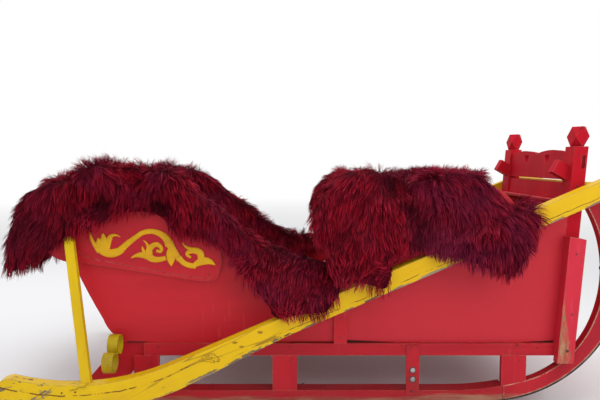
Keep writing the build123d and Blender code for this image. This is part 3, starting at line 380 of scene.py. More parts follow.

# painted wood and painted iron, one row of settings for each finish
# the crack colour also serves as painted shade in the side walls' sill gaps and the dash slot
commonPaint = {
    "gloss": 0.22, "crackAndShade": srgb(44, 22, 18), "turn": 0, "toneAmount": 0.7, "cracks": 0.0, "wearRadius": 0.004,
    "chips": 0.0, "lowBrownTop": 0.3, "lowBrownShare": 0.40, "scuff": 0.0, "rough": 0.5, "coat": 0.0,
}
paintLooks = {
    "redBoards": {
        "paint": srgb(196, 30, 42), "second": srgb(172, 22, 36), "bare": srgb(214, 112, 112),
        "bareDark": srgb(170, 84, 80), "stretch": 7, "toneSize": 2.4, "toneAmount": 0.75, "grainSize": 34,
        "wear": 0.30, "chipSize": 26, "lowBrownTop": 0.36, "lowBrownShare": 0.12, "scuff": 0.22, "rough": 0.46, "coat": 0.05,
        "bump": 0.0006, "frontTone": srgb(202, 42, 56),
    },
    "redTimber": {
        "paint": srgb(190, 28, 42), "second": srgb(160, 18, 34), "bare": srgb(176, 122, 96),
        "bareDark": srgb(118, 70, 56), "stretch": 9, "toneSize": 4.0, "toneAmount": 0.75, "grainSize": 44,
        "cracks": 0.12, "wearRadius": 0.005, "wear": 0.34, "chipSize": 22, "lowBrownTop": 0.13, "scuff": 0.20,
        "bump": 0.0009,
    },
    "bentTimber": {
        "paint": srgb(188, 28, 44), "second": srgb(158, 20, 36), "bare": srgb(224, 200, 172),
        "bareDark": srgb(168, 118, 92), "turn": 60, "stretch": 5, "toneSize": 5.0, "toneAmount": 0.75,
        "grainSize": 44, "cracks": 0.1, "wearRadius": 0.012, "wear": 0.46, "chips": 0.02, "chipSize": 22,
        "lowBrownTop": 0.13, "lowBrownShare": 0.3, "scuff": 0.20, "bump": 0.0008,
    },
    "redUprights": {
        "paint": srgb(196, 30, 44), "second": srgb(168, 20, 36), "bare": srgb(196, 116, 100),
        "bareDark": srgb(130, 70, 60), "turn": 90, "stretch": 9, "toneSize": 4.0, "grainSize": 44, "cracks": 0.12,
        "wear": 0.30, "chipSize": 24, "lowBrownTop": 0.16, "lowBrownShare": 0.25, "scuff": 0.25, "bump": 0.0008,
    },
    "redDash": {
        "gloss": 0.06, "paint": srgb(194, 26, 42), "second": srgb(170, 18, 34), "bare": srgb(210, 108, 104),
        "bareDark": srgb(120, 48, 46), "turn": 90, "stretch": 6, "toneSize": 3.2, "grainSize": 38, "cracks": 0.1,
        "wear": 0.30, "chipSize": 30, "lowBrownShare": 0.1, "scuff": 0.1, "rough": 0.60, "bump": 0.0006,
    },
    "dashEdge": {
        "paint": srgb(196, 30, 44), "second": srgb(172, 20, 36), "bare": srgb(246, 206, 208),
        "bareDark": srgb(222, 140, 140), "turn": 90, "stretch": 6, "toneSize": 3.2, "grainSize": 38, "cracks": 0.1,
        "wearRadius": 0.006, "wear": 0.56, "chipSize": 30, "lowBrownShare": 0.0, "rough": 0.46, "coat": 0.05, "bump": 0.0006,
    },
    "redInside": {
        "paint": srgb(174, 24, 36), "second": srgb(142, 16, 28), "bare": srgb(150, 104, 84),
        "bareDark": srgb(96, 60, 48), "stretch": 7, "toneSize": 3.5, "toneAmount": 0.8, "grainSize": 40,
        "cracks": 0.4, "wearRadius": 0.005, "wear": 0.42, "chips": 0.07, "chipSize": 16, "lowBrownTop": 0.50,
        "scuff": 0.3, "rough": 0.55, "bump": 0.0009,
    },
    "kneeTimber": {
        "paint": srgb(206, 42, 62), "second": srgb(190, 32, 50), "bare": srgb(172, 146, 108),
        "bareDark": srgb(132, 96, 66), "turn": 86, "stretch": 10, "toneSize": 5.0, "toneAmount": 0.8,
        "grainSize": 48, "cracks": 0.2, "wear": 0.34, "chipSize": 22, "lowBrownShare": 0.2, "scuff": 0.3, "bump": 0.0008,
    },
    "yellowTimber": {
        "crackAndShade": srgb(112, 66, 22), "paint": srgb(232, 192, 0), "second": srgb(216, 168, 4),
        "bare": srgb(156, 140, 112), "bareDark": srgb(96, 76, 60), "turn": 22.44, "stretch": 12, "toneSize": 3.4,
        "grainSize": 42, "cracks": 0.55, "wearRadius": 0.005, "wear": 0.36, "chips": 0.03, "chipSize": 20,
        "lowBrownTop": 0.34, "lowBrownShare": 0.30, "rough": 0.48, "coat": 0.05, "bump": 0.0010,
    },
    "yellowProp": {
        "crackAndShade": srgb(112, 66, 22), "paint": srgb(226, 190, 4), "second": srgb(206, 166, 8),
        "bare": srgb(158, 142, 112), "bareDark": srgb(92, 76, 62), "turn": 90, "stretch": 10, "toneSize": 4.0,
        "grainSize": 42, "cracks": 0.2, "wearRadius": 0.003, "wear": 0.28, "chipSize": 30, "lowBrownShare": 0.3,
        "rough": 0.48, "coat": 0.05, "bump": 0.0007,
    },
    # carving: its dark orange bare colours, laid on by the edge mask, are painted shade along the relief edges
    "yellowCarving": {
        "crackAndShade": srgb(112, 66, 22), "paint": srgb(222, 170, 4), "second": srgb(198, 140, 8),
        "bare": srgb(170, 102, 24), "bareDark": srgb(120, 60, 24), "stretch": 3, "toneSize": 9.0, "grainSize": 60,
        "wearRadius": 0.0025, "wear": 0.24, "chipSize": 60, "lowBrownTop": 0.2, "lowBrownShare": 0.0, "rough": 0.42, "coat": 0.1,
        "bump": 0.0004,
    },
    "yellowIron": {
        "crackAndShade": srgb(112, 66, 22), "paint": srgb(192, 166, 10), "second": srgb(160, 134, 14),
        "bare": srgb(120, 72, 40), "bareDark": srgb(66, 42, 32), "stretch": 1, "toneSize": 12.0, "toneAmount": 0.8,
        "grainSize": 90, "wearRadius": 0.002, "wear": 0.34, "chips": 0.04, "chipSize": 60, "lowBrownTop": 0.4,
        "rough": 0.45, "coat": 0.1, "bump": 0.0003,
    },
    "redIron": {
        "paint": srgb(184, 24, 38), "second": srgb(152, 18, 32), "bare": srgb(96, 62, 54),
        "bareDark": srgb(54, 40, 38), "turn": 90, "stretch": 1, "toneSize": 12.0, "toneAmount": 0.8,
        "grainSize": 90, "wearRadius": 0.003, "wear": 0.32, "chips": 0.03, "chipSize": 60, "lowBrownTop": 0.2,
        "rough": 0.45, "coat": 0.05, "bump": 0.0003,
    },
}
paintLooks = {name: {**commonPaint, **look} for name, look in paintLooks.items()}


# mask of the faces that look to the right or left
def sideFaces(tree):
    faced = axes(tree, tree.nodes.new("ShaderNodeNewGeometry").outputs["Normal"])
    return ramp(tree, unsigned(tree, faced["Y"]), 0.5, 0.9)


# bare wood on a knee's outer face, from its rear edge, wider towards its foot
def kneeFoot(tree, place):
    apart = axes(tree, place)
    drift = ramp(tree, noise(tree, alongBoard(tree, place, 86, 4)[1], 60, 4.0), 0.3, 0.7, -0.012, 0.012)
    border = times(tree, minus(tree, 0.570, apart["Z"]), 0.13)
    border = plus(tree, plus(tree, border, 1.152), drift)
    inside = ramp(tree, minus(tree, border, apart["X"]), -0.008, 0.010)
    left = ramp(tree, noise(tree, alongBoard(tree, place, 86, 2.5)[1], 42, 6.0, 0.7), 0.38, 0.62, 1.0, 0.25)
    inside = times(tree, inside, left)
    outer = sideFaces(tree)
    low = ramp(tree, apart["Z"], 0.575, 0.555)
    return times(tree, times(tree, inside, outer), low)


# how far a point of an outrigger is above its lower edge, in metres
def aboveLowerEdge(tree, place, board):
    apart = axes(tree, place)
    across = axes(tree, board)["Z"]
    straight = minus(tree, across, ramp(tree, apart["X"], -0.20, -0.69, 0.4351, 0.4031))
    flat = addNode(tree, "ShaderNodeCombineXYZ", {"X": apart["X"], "Z": apart["Z"]})
    reach = addNode(tree, "ShaderNodeVectorMath", {0: flat.outputs[0], 1: (-1.110, 0, 1.288)}, operation="DISTANCE")
    swept = minus(tree, 1.211, reach.outputs["Value"])
    rear = ramp(tree, apart["X"], -0.690, -0.700)
    return plus(tree, times(tree, straight, minus(tree, 1.0, rear)),
                 times(tree, swept, rear))


# chipped lower edge, worn tail, and the seams that have opened along an outrigger
def outriggerWear(tree, place, board):
    apart = axes(tree, place)
    above = aboveLowerEdge(tree, place, board)
    rough = noise(tree, alongBoard(tree, place, 22.44, 4)[1], 34, 6.0, 0.68)
    lowEdge = times(tree, ramp(tree, above, 0.016, 0.001), ramp(tree, rough, 0.42, 0.58))
    tail = times(tree, ramp(tree, apart["X"], -0.70, -1.30, 0.0, 0.9), ramp(tree, rough, 0.50, 0.62))
    spots = noise(tree, alongBoard(tree, place, 22.44, 2)[1], 15, 3.0)
    tail = times(tree, tail, ramp(tree, spots, 0.36, 0.54))
    chipped = ramp(tree, larger(tree, lowEdge, tail), 0.36, 0.44)
    waver = ramp(tree, noise(tree, place, 18, 3.0), 0.3, 0.7, -0.0035, 0.0035)
    broken = ramp(tree, noise(tree, place, 9, 4.0, 0.7), 0.42, 0.48)
    seam = unsigned(tree, minus(tree, plus(tree, above, waver), 0.021))
    front = ramp(tree, apart["X"], -0.42, -0.34)
    seam = times(tree, times(tree, ramp(tree, seam, 0.0019, 0.0008), front), broken)
    tailSeam = unsigned(tree, minus(tree, plus(tree, above, waver), 0.075))
    rear = ramp(tree, apart["X"], -0.50, -0.60)
    tailSeam = times(tree, times(tree, ramp(tree, tailSeam, 0.0040, 0.0012), rear), broken)
    return chipped, larger(tree, seam, tailSeam)


# rings of a knot in the paint: middle X and Z, reach
knots = ((-0.506, 0.309, 0.030), (-0.396, 0.378, 0.008), (-0.364, 0.359, 0.007), (-0.282, 0.424, 0.008))


def knotMarks(tree, place):
    marks = 0.0
    for x, z, reach in knots:
        apart = addNode(tree, "ShaderNodeVectorMath", {0: place, 1: (x, 0, z)}, operation="SUBTRACT")
        squeezed = addNode(tree, "ShaderNodeMapping", {
            "Vector": apart.outputs[0], "Rotation": (0, 0.39, 0), "Scale": (0.5, 0, 1),
        })
        away = addNode(tree, "ShaderNodeVectorMath", {0: squeezed.outputs[0]}, operation="LENGTH").outputs["Value"]
        shaken = plus(tree, away, ramp(tree, noise(tree, place, 70, 4.0), 0.3, 0.7, -reach * 0.3, reach * 0.3))
        rings = maths(tree, "SINE", times(tree, shaken, 420.0))
        inside = ramp(tree, shaken, reach, reach * 0.55)
        own = times(tree, inside, ramp(tree, rings, 0.1, 0.6) if reach > 0.02 else 1.0)
        marks = larger(tree, own, marks)
    return marks


# painted shade in the openings between a side wall and its sill: from X, to X, height at each end
sillGaps = (
    (-0.945, -0.849, 0.006, 0.004), (-0.148, 0.060, 0.003, 0.004), (0.110, 0.360, 0.013, 0.001),
    (0.985, 1.135, 0.001, 0.010),
)


def gapShade(tree, place):
    apart = axes(tree, place)
    shade = 0.0
    for start, stop, first, last in sillGaps:
        height = ramp(tree, apart["X"], start, stop, first, last)
        within = times(tree, maths(tree, "GREATER_THAN", apart["X"], start),
                       maths(tree, "LESS_THAN", apart["X"], stop))
        top = minus(tree, plus(tree, height, 0.316), apart["Z"])
        shade = larger(tree, times(tree, within, ramp(tree, top, -0.0008, 0.0008)), shade)
    return shade


# painted shade on the floor of the slot cut in a front post
def slotShade(tree, place):
    apart = axes(tree, place)
    depth = unsigned(tree, minus(tree, unsigned(tree, apart["Y"]), 0.4805))
    inward = times(tree, ramp(tree, depth, 0.0042, 0.0036), maths(tree, "GREATER_THAN", apart["X"], 1.235))
    return times(tree, inward, maths(tree, "GREATER_THAN", apart["Z"], 1.15))


# brown worn band along the foot of the runners, and the line where beam and bent front meet
def runnerFoot(tree, place):
    apart = axes(tree, place)
    streaks = noise(tree, alongBoard(tree, place, 0, 8)[1], 40, 5.0, 0.65)
    ragged = ramp(tree, streaks, 0.3, 0.7, -0.009, 0.009)
    border = ramp(tree, apart["X"], 0.36, 0.52, 0.050, 0.064)
    high = minus(tree, plus(tree, apart["Z"], ragged), border)
    outer = sideFaces(tree)
    front = ramp(tree, apart["X"], 0.88, 1.02, 1.0, 0.0)
    band = times(tree, times(tree, ramp(tree, high, 0.005, -0.008, 0.0, 0.7), outer), front)
    joint = unsigned(tree, minus(tree, apart["X"], 0.890))
    return band, times(tree, ramp(tree, joint, 0.0018, 0.0008), maths(tree, "LESS_THAN", apart["Z"], 0.13))


def paintedFinish(name, look):
    material, tree, surface = newMaterial(
        name, Coat_Weight=look["coat"], Coat_Roughness=0.3, Specular_IOR_Level=look["gloss"])
    place = objectPlace(tree)
    board, fibre = alongBoard(tree, place, look["turn"], look["stretch"])
    tone = useGroup(tree, brushedTone, {
        "Place": fibre, "Colour": look["paint"], "Second": look["second"],
        "Size": look["toneSize"], "Amount": look["toneAmount"],
    }).outputs[0]
    grain = useGroup(tree, woodGrain, {"Place": fibre, "Size": look["grainSize"], "Cracks": look["cracks"]})
    wearAndEdgeShade = useGroup(tree, edgePatches, {
        "Place": place, "Radius": look["wearRadius"], "Size": 34.0, "Amount": look["wear"],
    }).outputs[0]
    crackAndShade = grain.outputs["Crack"]
    if look["chips"]:
        chips = useGroup(tree, paintChips, {
            "Place": alongBoard(tree, place, look["turn"], 2.2)[1], "Size": look["chipSize"], "Share": look["chips"],
        }).outputs[0]
        wearAndEdgeShade = larger(tree, wearAndEdgeShade, chips)
    if name == "kneeTimber":
        wearAndEdgeShade = larger(tree, wearAndEdgeShade, kneeFoot(tree, place))
    if name == "yellowTimber":
        chipped, opened = outriggerWear(tree, place, board)
        wearAndEdgeShade = larger(tree, wearAndEdgeShade, chipped)
        crackAndShade = larger(tree, larger(tree, crackAndShade, opened), times(tree, knotMarks(tree, place), 0.7))
    # side walls: painted shade in the gaps above the sills takes the dark crack colour
    if name == "redBoards":
        crackAndShade = larger(tree, crackAndShade, gapShade(tree, place))
    # dash: painted shade on the slot's floor takes the dark crack colour
    if name == "redDash":
        crackAndShade = larger(tree, crackAndShade, times(tree, slotShade(tree, place), 0.55))
    if name in ("redTimber", "bentTimber"):
        foot, joint = runnerFoot(tree, place)
        crackAndShade = larger(tree, crackAndShade, joint)
    # worn edges show bare wood; on the carving the same mask paints shade along the relief edges
    bare = mixColour(tree, ramp(tree, grain.outputs["Grain"], 0.38, 0.62), look["bareDark"], look["bare"])
    colour = mixColour(tree, wearAndEdgeShade, tone, bare)
    if name in ("redTimber", "bentTimber"):
        streaks = ramp(tree, noise(tree, fibre, 30, 5.0, 0.65), 0.4, 0.6)
        brown = mixColour(tree, streaks, srgb(140, 70, 58), srgb(166, 136, 108))
        colour = mixColour(tree, foot, colour, brown)
    if look["scuff"]:
        marks = useGroup(tree, scuffs, {"Place": place, "Size": 5.0, "Share": look["scuff"]}).outputs[0]
        colour = mixColour(tree, marks, colour, srgb(226, 118, 128))
    # duller, darker brown patches, denser lower down
    if look["lowBrownShare"]:
        lowBrownMask = useGroup(tree, lowBrown, {"Place": place, "Top": look["lowBrownTop"], "Size": 9.0}).outputs[0]
        colour = mixColour(tree, times(tree, lowBrownMask, look["lowBrownShare"]), colour, srgb(112, 84, 66))
    # the side walls' paint turns lighter towards the front
    if name == "redBoards":
        towardsFront = ramp(tree, plus(tree, axes(tree, place)["X"],
                                 ramp(tree, noise(tree, place, 1.8, 3.0), 0.3, 0.7, -0.3, 0.3)), -0.45, 0.45, 0.0, 0.75)
        colour = mixColour(tree, times(tree, towardsFront, minus(tree, 1.0, wearAndEdgeShade)), colour, look["frontTone"])
    # cracks, seams and dark joints, and the painted shade in the sill gaps and the slot, take the dark colour
    colour = mixColour(tree, crackAndShade, colour, look["crackAndShade"])
    link(tree, colour, surface.inputs["Base Color"])
    dull = plus(tree, look["rough"], ramp(tree, grain.outputs["Grain"], 0.3, 0.7, -0.05, 0.07))
    dull = plus(tree, dull, times(tree, wearAndEdgeShade, 0.30))
    link(tree, dull, surface.inputs["Roughness"])
    relief = minus(tree, ramp(tree, grain.outputs["Grain"], 0.3, 0.7, 0.0, 0.45), times(tree, wearAndEdgeShade, 0.55))
    relief = minus(tree, relief, times(tree, crackAndShade, 1.4))
    addBump(tree, surface, relief, look["bump"])
    return material


ironLooks = {
    "shoeIron": {"base": srgb(58, 52, 52), "second": srgb(96, 84, 78), "rust": srgb(96, 54, 34), "rustShare": 0.30,
                 "rough": 0.42, "metal": 0.75},
    "drawIron": {"base": srgb(50, 46, 46), "second": srgb(78, 72, 70), "rust": srgb(88, 48, 30), "rustShare": 0.22,
                 "rough": 0.5, "metal": 0.7},
    "boltZinc": {"base": srgb(178, 172, 172), "second": srgb(140, 134, 134), "rust": srgb(120, 84, 66),
                 "rustShare": 0.08, "rough": 0.45, "metal": 0.35},
    "nailIron": {"base": srgb(62, 44, 44), "second": srgb(92, 56, 50), "rust": srgb(100, 50, 34), "rustShare": 0.30,
                 "rough": 0.6, "metal": 0.4},
}


def ironFinish(name, look):
    material, tree, surface = newMaterial(name, Metallic=look["metal"])
    place = objectPlace(tree)
    tone = useGroup(tree, brushedTone, {
        "Place": place, "Colour": look["base"], "Second": look["second"], "Size": 14.0, "Amount": 0.8,
    }).outputs[0]
    rusted = useGroup(tree, paintChips, {"Place": place, "Size": 18.0, "Share": look["rustShare"]}).outputs[0]
    rubbed = useGroup(tree, edgePatches, {"Place": place, "Radius": 0.002, "Size": 60.0, "Amount": 0.4}).outputs[0]
    colour = mixColour(tree, rusted, tone, look["rust"])
    colour = mixColour(tree, times(tree, rubbed, 0.6), colour, srgb(150, 144, 140))
    link(tree, colour, surface.inputs["Base Color"])
    link(tree, plus(tree, look["rough"], times(tree, rusted, 0.3)), surface.inputs["Roughness"])
    pits = noise(tree, place, 160, 4.0, 0.6)
    addBump(tree, surface, pits, 0.0004)
    return material


finishes = {name: paintedFinish(name, look) for name, look in paintLooks.items()}
finishes.update({name: ironFinish(name, look) for name, look in ironLooks.items()})
finishOf = (
    # part of a node's name, finish; the first that fits is taken
    ("outrigger_prop", "yellowProp"),
    ("outrigger", "yellowTimber"),
    ("front_crossbar", "yellowProp"),
    ("carving", "yellowCarving"),
    ("scroll_iron", "yellowIron"),
    ("iron_strap", "redIron"),
    ("runner_shoe", "shoeIron"),
    ("draw_", "drawIron"),
    ("knee", "kneeTimber"),
    ("stanchions", "redUprights"),
    ("wall_stake", "redUprights"),
    ("runner_front", "bentTimber"),
    ("runner", "redTimber"),
    ("sill", "redTimber"),
    ("rear_brace", "redTimber"),
    ("front_post", "redDash"),
    ("dash_ledge", "dashEdge"),
    ("dash", "redDash"),
    ("side_", "redBoards"),
    ("", "redInside"),
)
for name, node in nodes.items():
    finish = next(finish for part, finish in finishOf if part in name)
    node.data.materials.clear()
    node.data.materials.append(finishes[finish])
print("finishes ready")


# a new piece from points and faces. With a slot it rides on the sleigh's body
def addObject(name, points, faces, finish=None, slot=None, smoothAngle=None):
    mesh = bpy.data.meshes.new(name)
    mesh.from_pydata([tuple(point) for point in points], [], [tuple(face) for face in faces])
    mesh.update()
    if smoothAngle:
        mesh.shade_smooth()
        mesh.set_sharp_from_angle(angle=math.radians(smoothAngle))
    piece = bpy.data.objects.new(name, mesh)
    bpy.context.scene.collection.objects.link(piece)
    if finish:
        mesh.materials.append(finishes[finish])
    if slot:
        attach(piece, "root")
    return piece


# adds one small shape to a piece's points and faces
def joinIn(points, faces, shape):
    own, ownFaces = shape
    faces += [tuple(index + len(points) for index in face) for face in ownFaces]
    points += own


# leaf scroll carvings, cut round: start, middle and end of each stroke, and its width at each, in mm
carvingLook = {
    "ground": 0.500,      # outer face of the wings
    "relief": 0.0080,
    "stations": 12,
    "strokes": (
        ((-1114, 869), (-1093, 809), (-1062, 766), 7, 17, 29, 0.90),
        ((-1074, 783), (-1014, 757), (-952, 778), 24, 40, 31, 1.00),
        ((-1071, 771), (-1064, 802), (-1072, 831), 24, 36, 5, 0.86),
        ((-1052, 766), (-1044, 809), (-1047, 853), 33, 38, 7, 0.96),
        ((-1033, 769), (-1023, 809), (-1008, 838), 31, 31, 20, 0.90),
        ((-1016, 831), (-993, 845), (-963, 836), 24, 13, 4, 0.80),
        ((-962, 773), (-919, 812), (-876, 843), 33, 27, 24, 1.00),
        ((-885, 836), (-847, 859), (-800, 862), 24, 24, 24, 0.96),
        ((-814, 864), (-757, 842), (-726, 795), 24, 31, 43, 1.00),
        ((-731, 814), (-707, 766), (-676, 723), 38, 33, 26, 0.96),
        ((-683, 742), (-654, 707), (-600, 695), 24, 26, 24, 0.93),
        ((-716, 785), (-721, 740), (-719, 695), 29, 43, 3, 0.90),
        ((-912, 734), (-869, 749), (-814, 740), 5, 26, 43, 0.90),
        ((-833, 750), (-800, 727), (-745, 735), 38, 29, 21, 0.94),
        ((-824, 738), (-825, 773), (-802, 796), 38, 31, 25, 0.96),
        ((-809, 794), (-783, 798), (-765, 778), 24, 22, 17, 0.92),
        ((-765, 785), (-771, 766), (-790, 771), 17, 16, 14, 0.88),
        ((-852, 819), (-835, 800), (-826, 771), 5, 12, 24, 0.80),
        ((-857, 790), (-854, 771), (-840, 747), 5, 14, 24, 0.78),
        ((-614, 695), (-557, 720), (-509, 700), 19, 36, 5, 0.96),
        ((-581, 709), (-582, 759), (-626, 770), 29, 33, 26, 0.92),
        ((-619, 770), (-644, 754), (-624, 737), 26, 17, 12, 0.88),
        ((-664, 809), (-647, 788), (-614, 773), 5, 12, 24, 0.80),
    ),
}


# value of the smooth curve through three values, at a share of its way
def through(first, middle, last, share):
    return (first * (1 - share) * (1 - 2 * share) + middle * 4 * share * (1 - share)
            + last * share * (2 * share - 1))


# section of a stroke: share of its half width, share of its height; None is the vein
strokeSection = ((-1, 0), (-1, 0.38), (-0.72, 0.80), (-0.40, 1), (0, None), (0.40, 1), (0.72, 0.80), (1, 0.38), (1, 0))


# one stroke: upright rim, rounded shoulders, and a vein down the wide ones
def carvedStroke(stroke, side, look):
    start, middle, end, *widths, rise = stroke
    spine = []
    for step in range(look["stations"] + 1):
        share = step / look["stations"]
        spine.append([through(start[axis], middle[axis], end[axis], share) for axis in (0, 1)]
                     + [max(through(*widths, share), 2.0)])
    points, faces = [], []
    for step, (x, z, width) in enumerate(spine):
        before, after = spine[max(step - 1, 0)], spine[min(step + 1, look["stations"])]
        run = (after[0] - before[0], after[1] - before[1])
        length = math.hypot(*run)
        across = (-run[1] / length, run[0] / length)
        vein = 0.72 if width > 27 else 1.0
        slim = min(1.0, 0.35 + width / 24)
        for offset, height in strokeSection:
            height = vein if height is None else height
            out = look["ground"] + look["relief"] * height * rise * (slim if height else 1)
            reach = offset * width / 2
            points.append(((x + across[0] * reach) / 1000, side * out, (z + across[1] * reach) / 1000))
    row = len(strokeSection)
    for step in range(look["stations"]):
        for column in range(row):
            first, second = step * row + column, step * row + (column + 1) % row
            faces.append((first, second, second + row, first + row))
    last = look["stations"] * row
    faces.append(tuple(range(row)))
    faces.append(tuple(range(last + row - 1, last - 1, -1)))
    return points, [face if side < 0 else face[::-1] for face in faces]


for name, side in sides:
    points, faces = [], []
    for stroke in carvingLook["strokes"]:
        joinIn(points, faces, carvedStroke(stroke, side, carvingLook))
    piece = addObject(f"leafScroll_{name}", points, faces, "yellowCarving", "yellow_carving", smoothAngle=38)
    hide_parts(f"carving_{name}")
print("carvings cut")

headSink = 0.0005   # the back of each head lies this far in the wood
# nails, screws and bolts: X, Z, radius, height, and the node whose outer face carries them
hardwareLook = {
    "strapWashers": {
        "finish": "nailIron", "on": "iron_strap",
        "places": ((0.4475, 0.186, 0.0170, 0.0018), (0.4475, 0.141, 0.0170, 0.0018)),
    },
    "strapBolts": {
        "finish": "boltZinc", "on": "iron_strap",
        "places": ((0.4475, 0.186, 0.0125, 0.0075), (0.4475, 0.141, 0.0125, 0.0075)),
    },
    "strapScrews": {
        "finish": "nailIron", "on": "iron_strap",
        "places": ((0.441, 0.080, 0.0055, 0.0025), (0.440, 0.300, 0.0045, 0.0020)),
    },
    "sillNails": {
        "finish": "nailIron", "on": "sill",
        "places": ((0.395, 0.305, 0.0040, 0.0018), (0.955, 0.308, 0.0050, 0.0022), (-0.150, 0.300, 0.0040, 0.0018),
                   (-0.790, 0.298, 0.0045, 0.0018), (1.050, 0.292, 0.0040, 0.0018)),
    },
    "kneeScrews": {
        "finish": "nailIron", "on": "knee",
        "places": ((1.178, 0.293, 0.0070, 0.0025), (1.196, 0.470, 0.0045, 0.0018), (1.208, 0.760, 0.0045, 0.0018)),
    },
    "wingNails": {
        "finish": "nailIron", "on": "side_wing",
        "places": ((-1.235, 0.790, 0.0035, 0.0015), (-0.905, 0.720, 0.0035, 0.0015), (-0.540, 0.655, 0.0035, 0.0015),
                   (-0.560, 0.790, 0.0035, 0.0015), (-0.985, 0.950, 0.0035, 0.0015)),
    },
    "stakeNails": {
        "finish": "nailIron", "on": "wall_stake",
        "places": ((0.0965, 0.345, 0.0035, 0.0015), (0.0965, 0.440, 0.0035, 0.0015)),
    },
    "stanchionNails": {
        "finish": "nailIron", "on": "stanchions",
        "places": ((-0.820, 0.225, 0.0035, 0.0015), (-0.755, 0.120, 0.0035, 0.0015), (-0.150, 0.228, 0.0035, 0.0015),
                   (-0.085, 0.118, 0.0035, 0.0015), (0.965, 0.228, 0.0035, 0.0015), (1.030, 0.150, 0.0035, 0.0015)),
    },
    "postNails": {
        "finish": "nailIron", "on": "front_post",
        "places": ((1.229, 1.080, 0.0040, 0.0018), (1.236, 1.225, 0.0035, 0.0015)),
    },
}


# a low dome with an upright rim, its back just in the wood
def domedHead(place, side, radius, height, sink, segments=14):
    x, y, z = place
    rings = ((1.0, -sink / height), (1.0, 0.35), (0.86, 0.72), (0.5, 0.95))
    points, faces = [], []
    for scale, rise in rings:
        for step in range(segments):
            turn = 2 * math.pi * step / segments
            across, up = radius * scale * math.cos(turn), radius * scale * math.sin(turn)
            points.append((x + across, y + side * height * rise, z + up))
    points.append((x, y + side * height, z))
    for ring in range(len(rings) - 1):
        for step in range(segments):
            first, second = ring * segments + step, ring * segments + (step + 1) % segments
            faces.append((first, second, second + segments, first + segments))
    top = (len(rings) - 1) * segments
    faces += [(top + step, top + (step + 1) % segments, len(points) - 1) for step in range(segments)]
    faces.append(tuple(range(segments - 1, -1, -1)))
    return points, [face if side < 0 else face[::-1] for face in faces]


for label, look in hardwareLook.items():
    for name, side in sides:
        low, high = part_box(f"{look['on']}_{name}")
        outer = low.y if side < 0 else high.y
        points, faces = [], []
        for x, z, radius, height in look["places"]:
            joinIn(points, faces, domedHead((x, outer, z), side, radius, height, headSink))
        addObject(f"{label}_{name}", points, faces, look["finish"], "draw_iron", smoothAngle=50)


# a round rod along a line of points, with flat ends
def bentRod(line, radius, segments=8):
    line = [Vector(point) for point in line]
    points, faces = [], []
    for index, point in enumerate(line):
        along = (line[min(index + 1, len(line) - 1)] - line[max(index - 1, 0)]).normalized()
        first = along.orthogonal().normalized()
        if index:
            first = (before - along * before.dot(along)).normalized()
        before = first
        second = along.cross(first)
        for step in range(segments):
            turn = 2 * math.pi * step / segments
            points.append(point + (first * math.cos(turn) + second * math.sin(turn)) * radius)
    for ring in range(len(line) - 1):
        for step in range(segments):
            start, after = ring * segments + step, ring * segments + (step + 1) % segments
            faces.append((start, after, after + segments, start + segments))
    faces.append(tuple(range(segments - 1, -1, -1)))
    faces.append(tuple(range((len(line) - 1) * segments, len(line) * segments)))
    return points, faces


# nails left standing in the runners, as lines of points on the near side
standingNails = {
    "radius": 0.0018,
    "lines": (
        ((0.852, 0.480, 0.080), (0.851, 0.480, 0.100), (0.845, 0.482, 0.112)),
        ((0.852, 0.488, 0.098), (0.868, 0.489, 0.100), (0.886, 0.490, 0.092)),
        ((-0.535, 0.482, 0.080), (-0.535, 0.482, 0.110)),
        ((0.017, 0.478, 0.080), (0.016, 0.478, 0.100), (0.012, 0.478, 0.104)),
        ((0.800, 0.470, 0.080), (0.799, 0.470, 0.100)),
    ),
}
# bent iron and nails at the foot of the props
footIron = {
    "radius": 0.0030,
    "nailRadius": 0.0040, "nailHeight": 0.0025, "nailSink": 0.0010,
    "line": ((-1.128, 0.176), (-1.100, 0.182), (-1.088, 0.190), (-1.062, 0.190), (-1.054, 0.206)),
    "nails": ((-1.164, 0.166), (-1.105, 0.168)),
}


# outriggers: X of the front end, the middle's Y there, half the thickness, and how they splay
barLook = {"front": 1.375, "middle": 0.505, "half": 0.065, "splay": math.radians(4)}


# middle of an outrigger at a place along the sleigh
def barMiddle(x):
    return barLook["middle"] + (barLook["front"] - x) * math.tan(barLook["splay"])


def barFace(x):
    return barMiddle(x) + barLook["half"] / math.cos(barLook["splay"])


for name, side in sides:
    points, faces = [], []
    for line in standingNails["lines"]:
        joinIn(points, faces, bentRod([(x, side * y, z) for x, y, z in line], standingNails["radius"]))
    addObject(f"runnerNails_{name}", points, faces, "nailIron", "draw_iron", smoothAngle=40)

    points, faces = bentRod([(x, side * (barFace(x) + 0.002), z) for x, z in footIron["line"]], footIron["radius"])
    addObject(f"footIron_{name}", points, faces, "yellowIron", "yellow_iron", smoothAngle=40)
    points, faces = [], []
    for x, z in footIron["nails"]:
        joinIn(points, faces, domedHead((x, side * barFace(x), z), side, footIron["nailRadius"],
                                        footIron["nailHeight"], footIron["nailSink"]))
    addObject(f"footNails_{name}", points, faces, "nailIron", "draw_iron", smoothAngle=50)
print("hardware set")

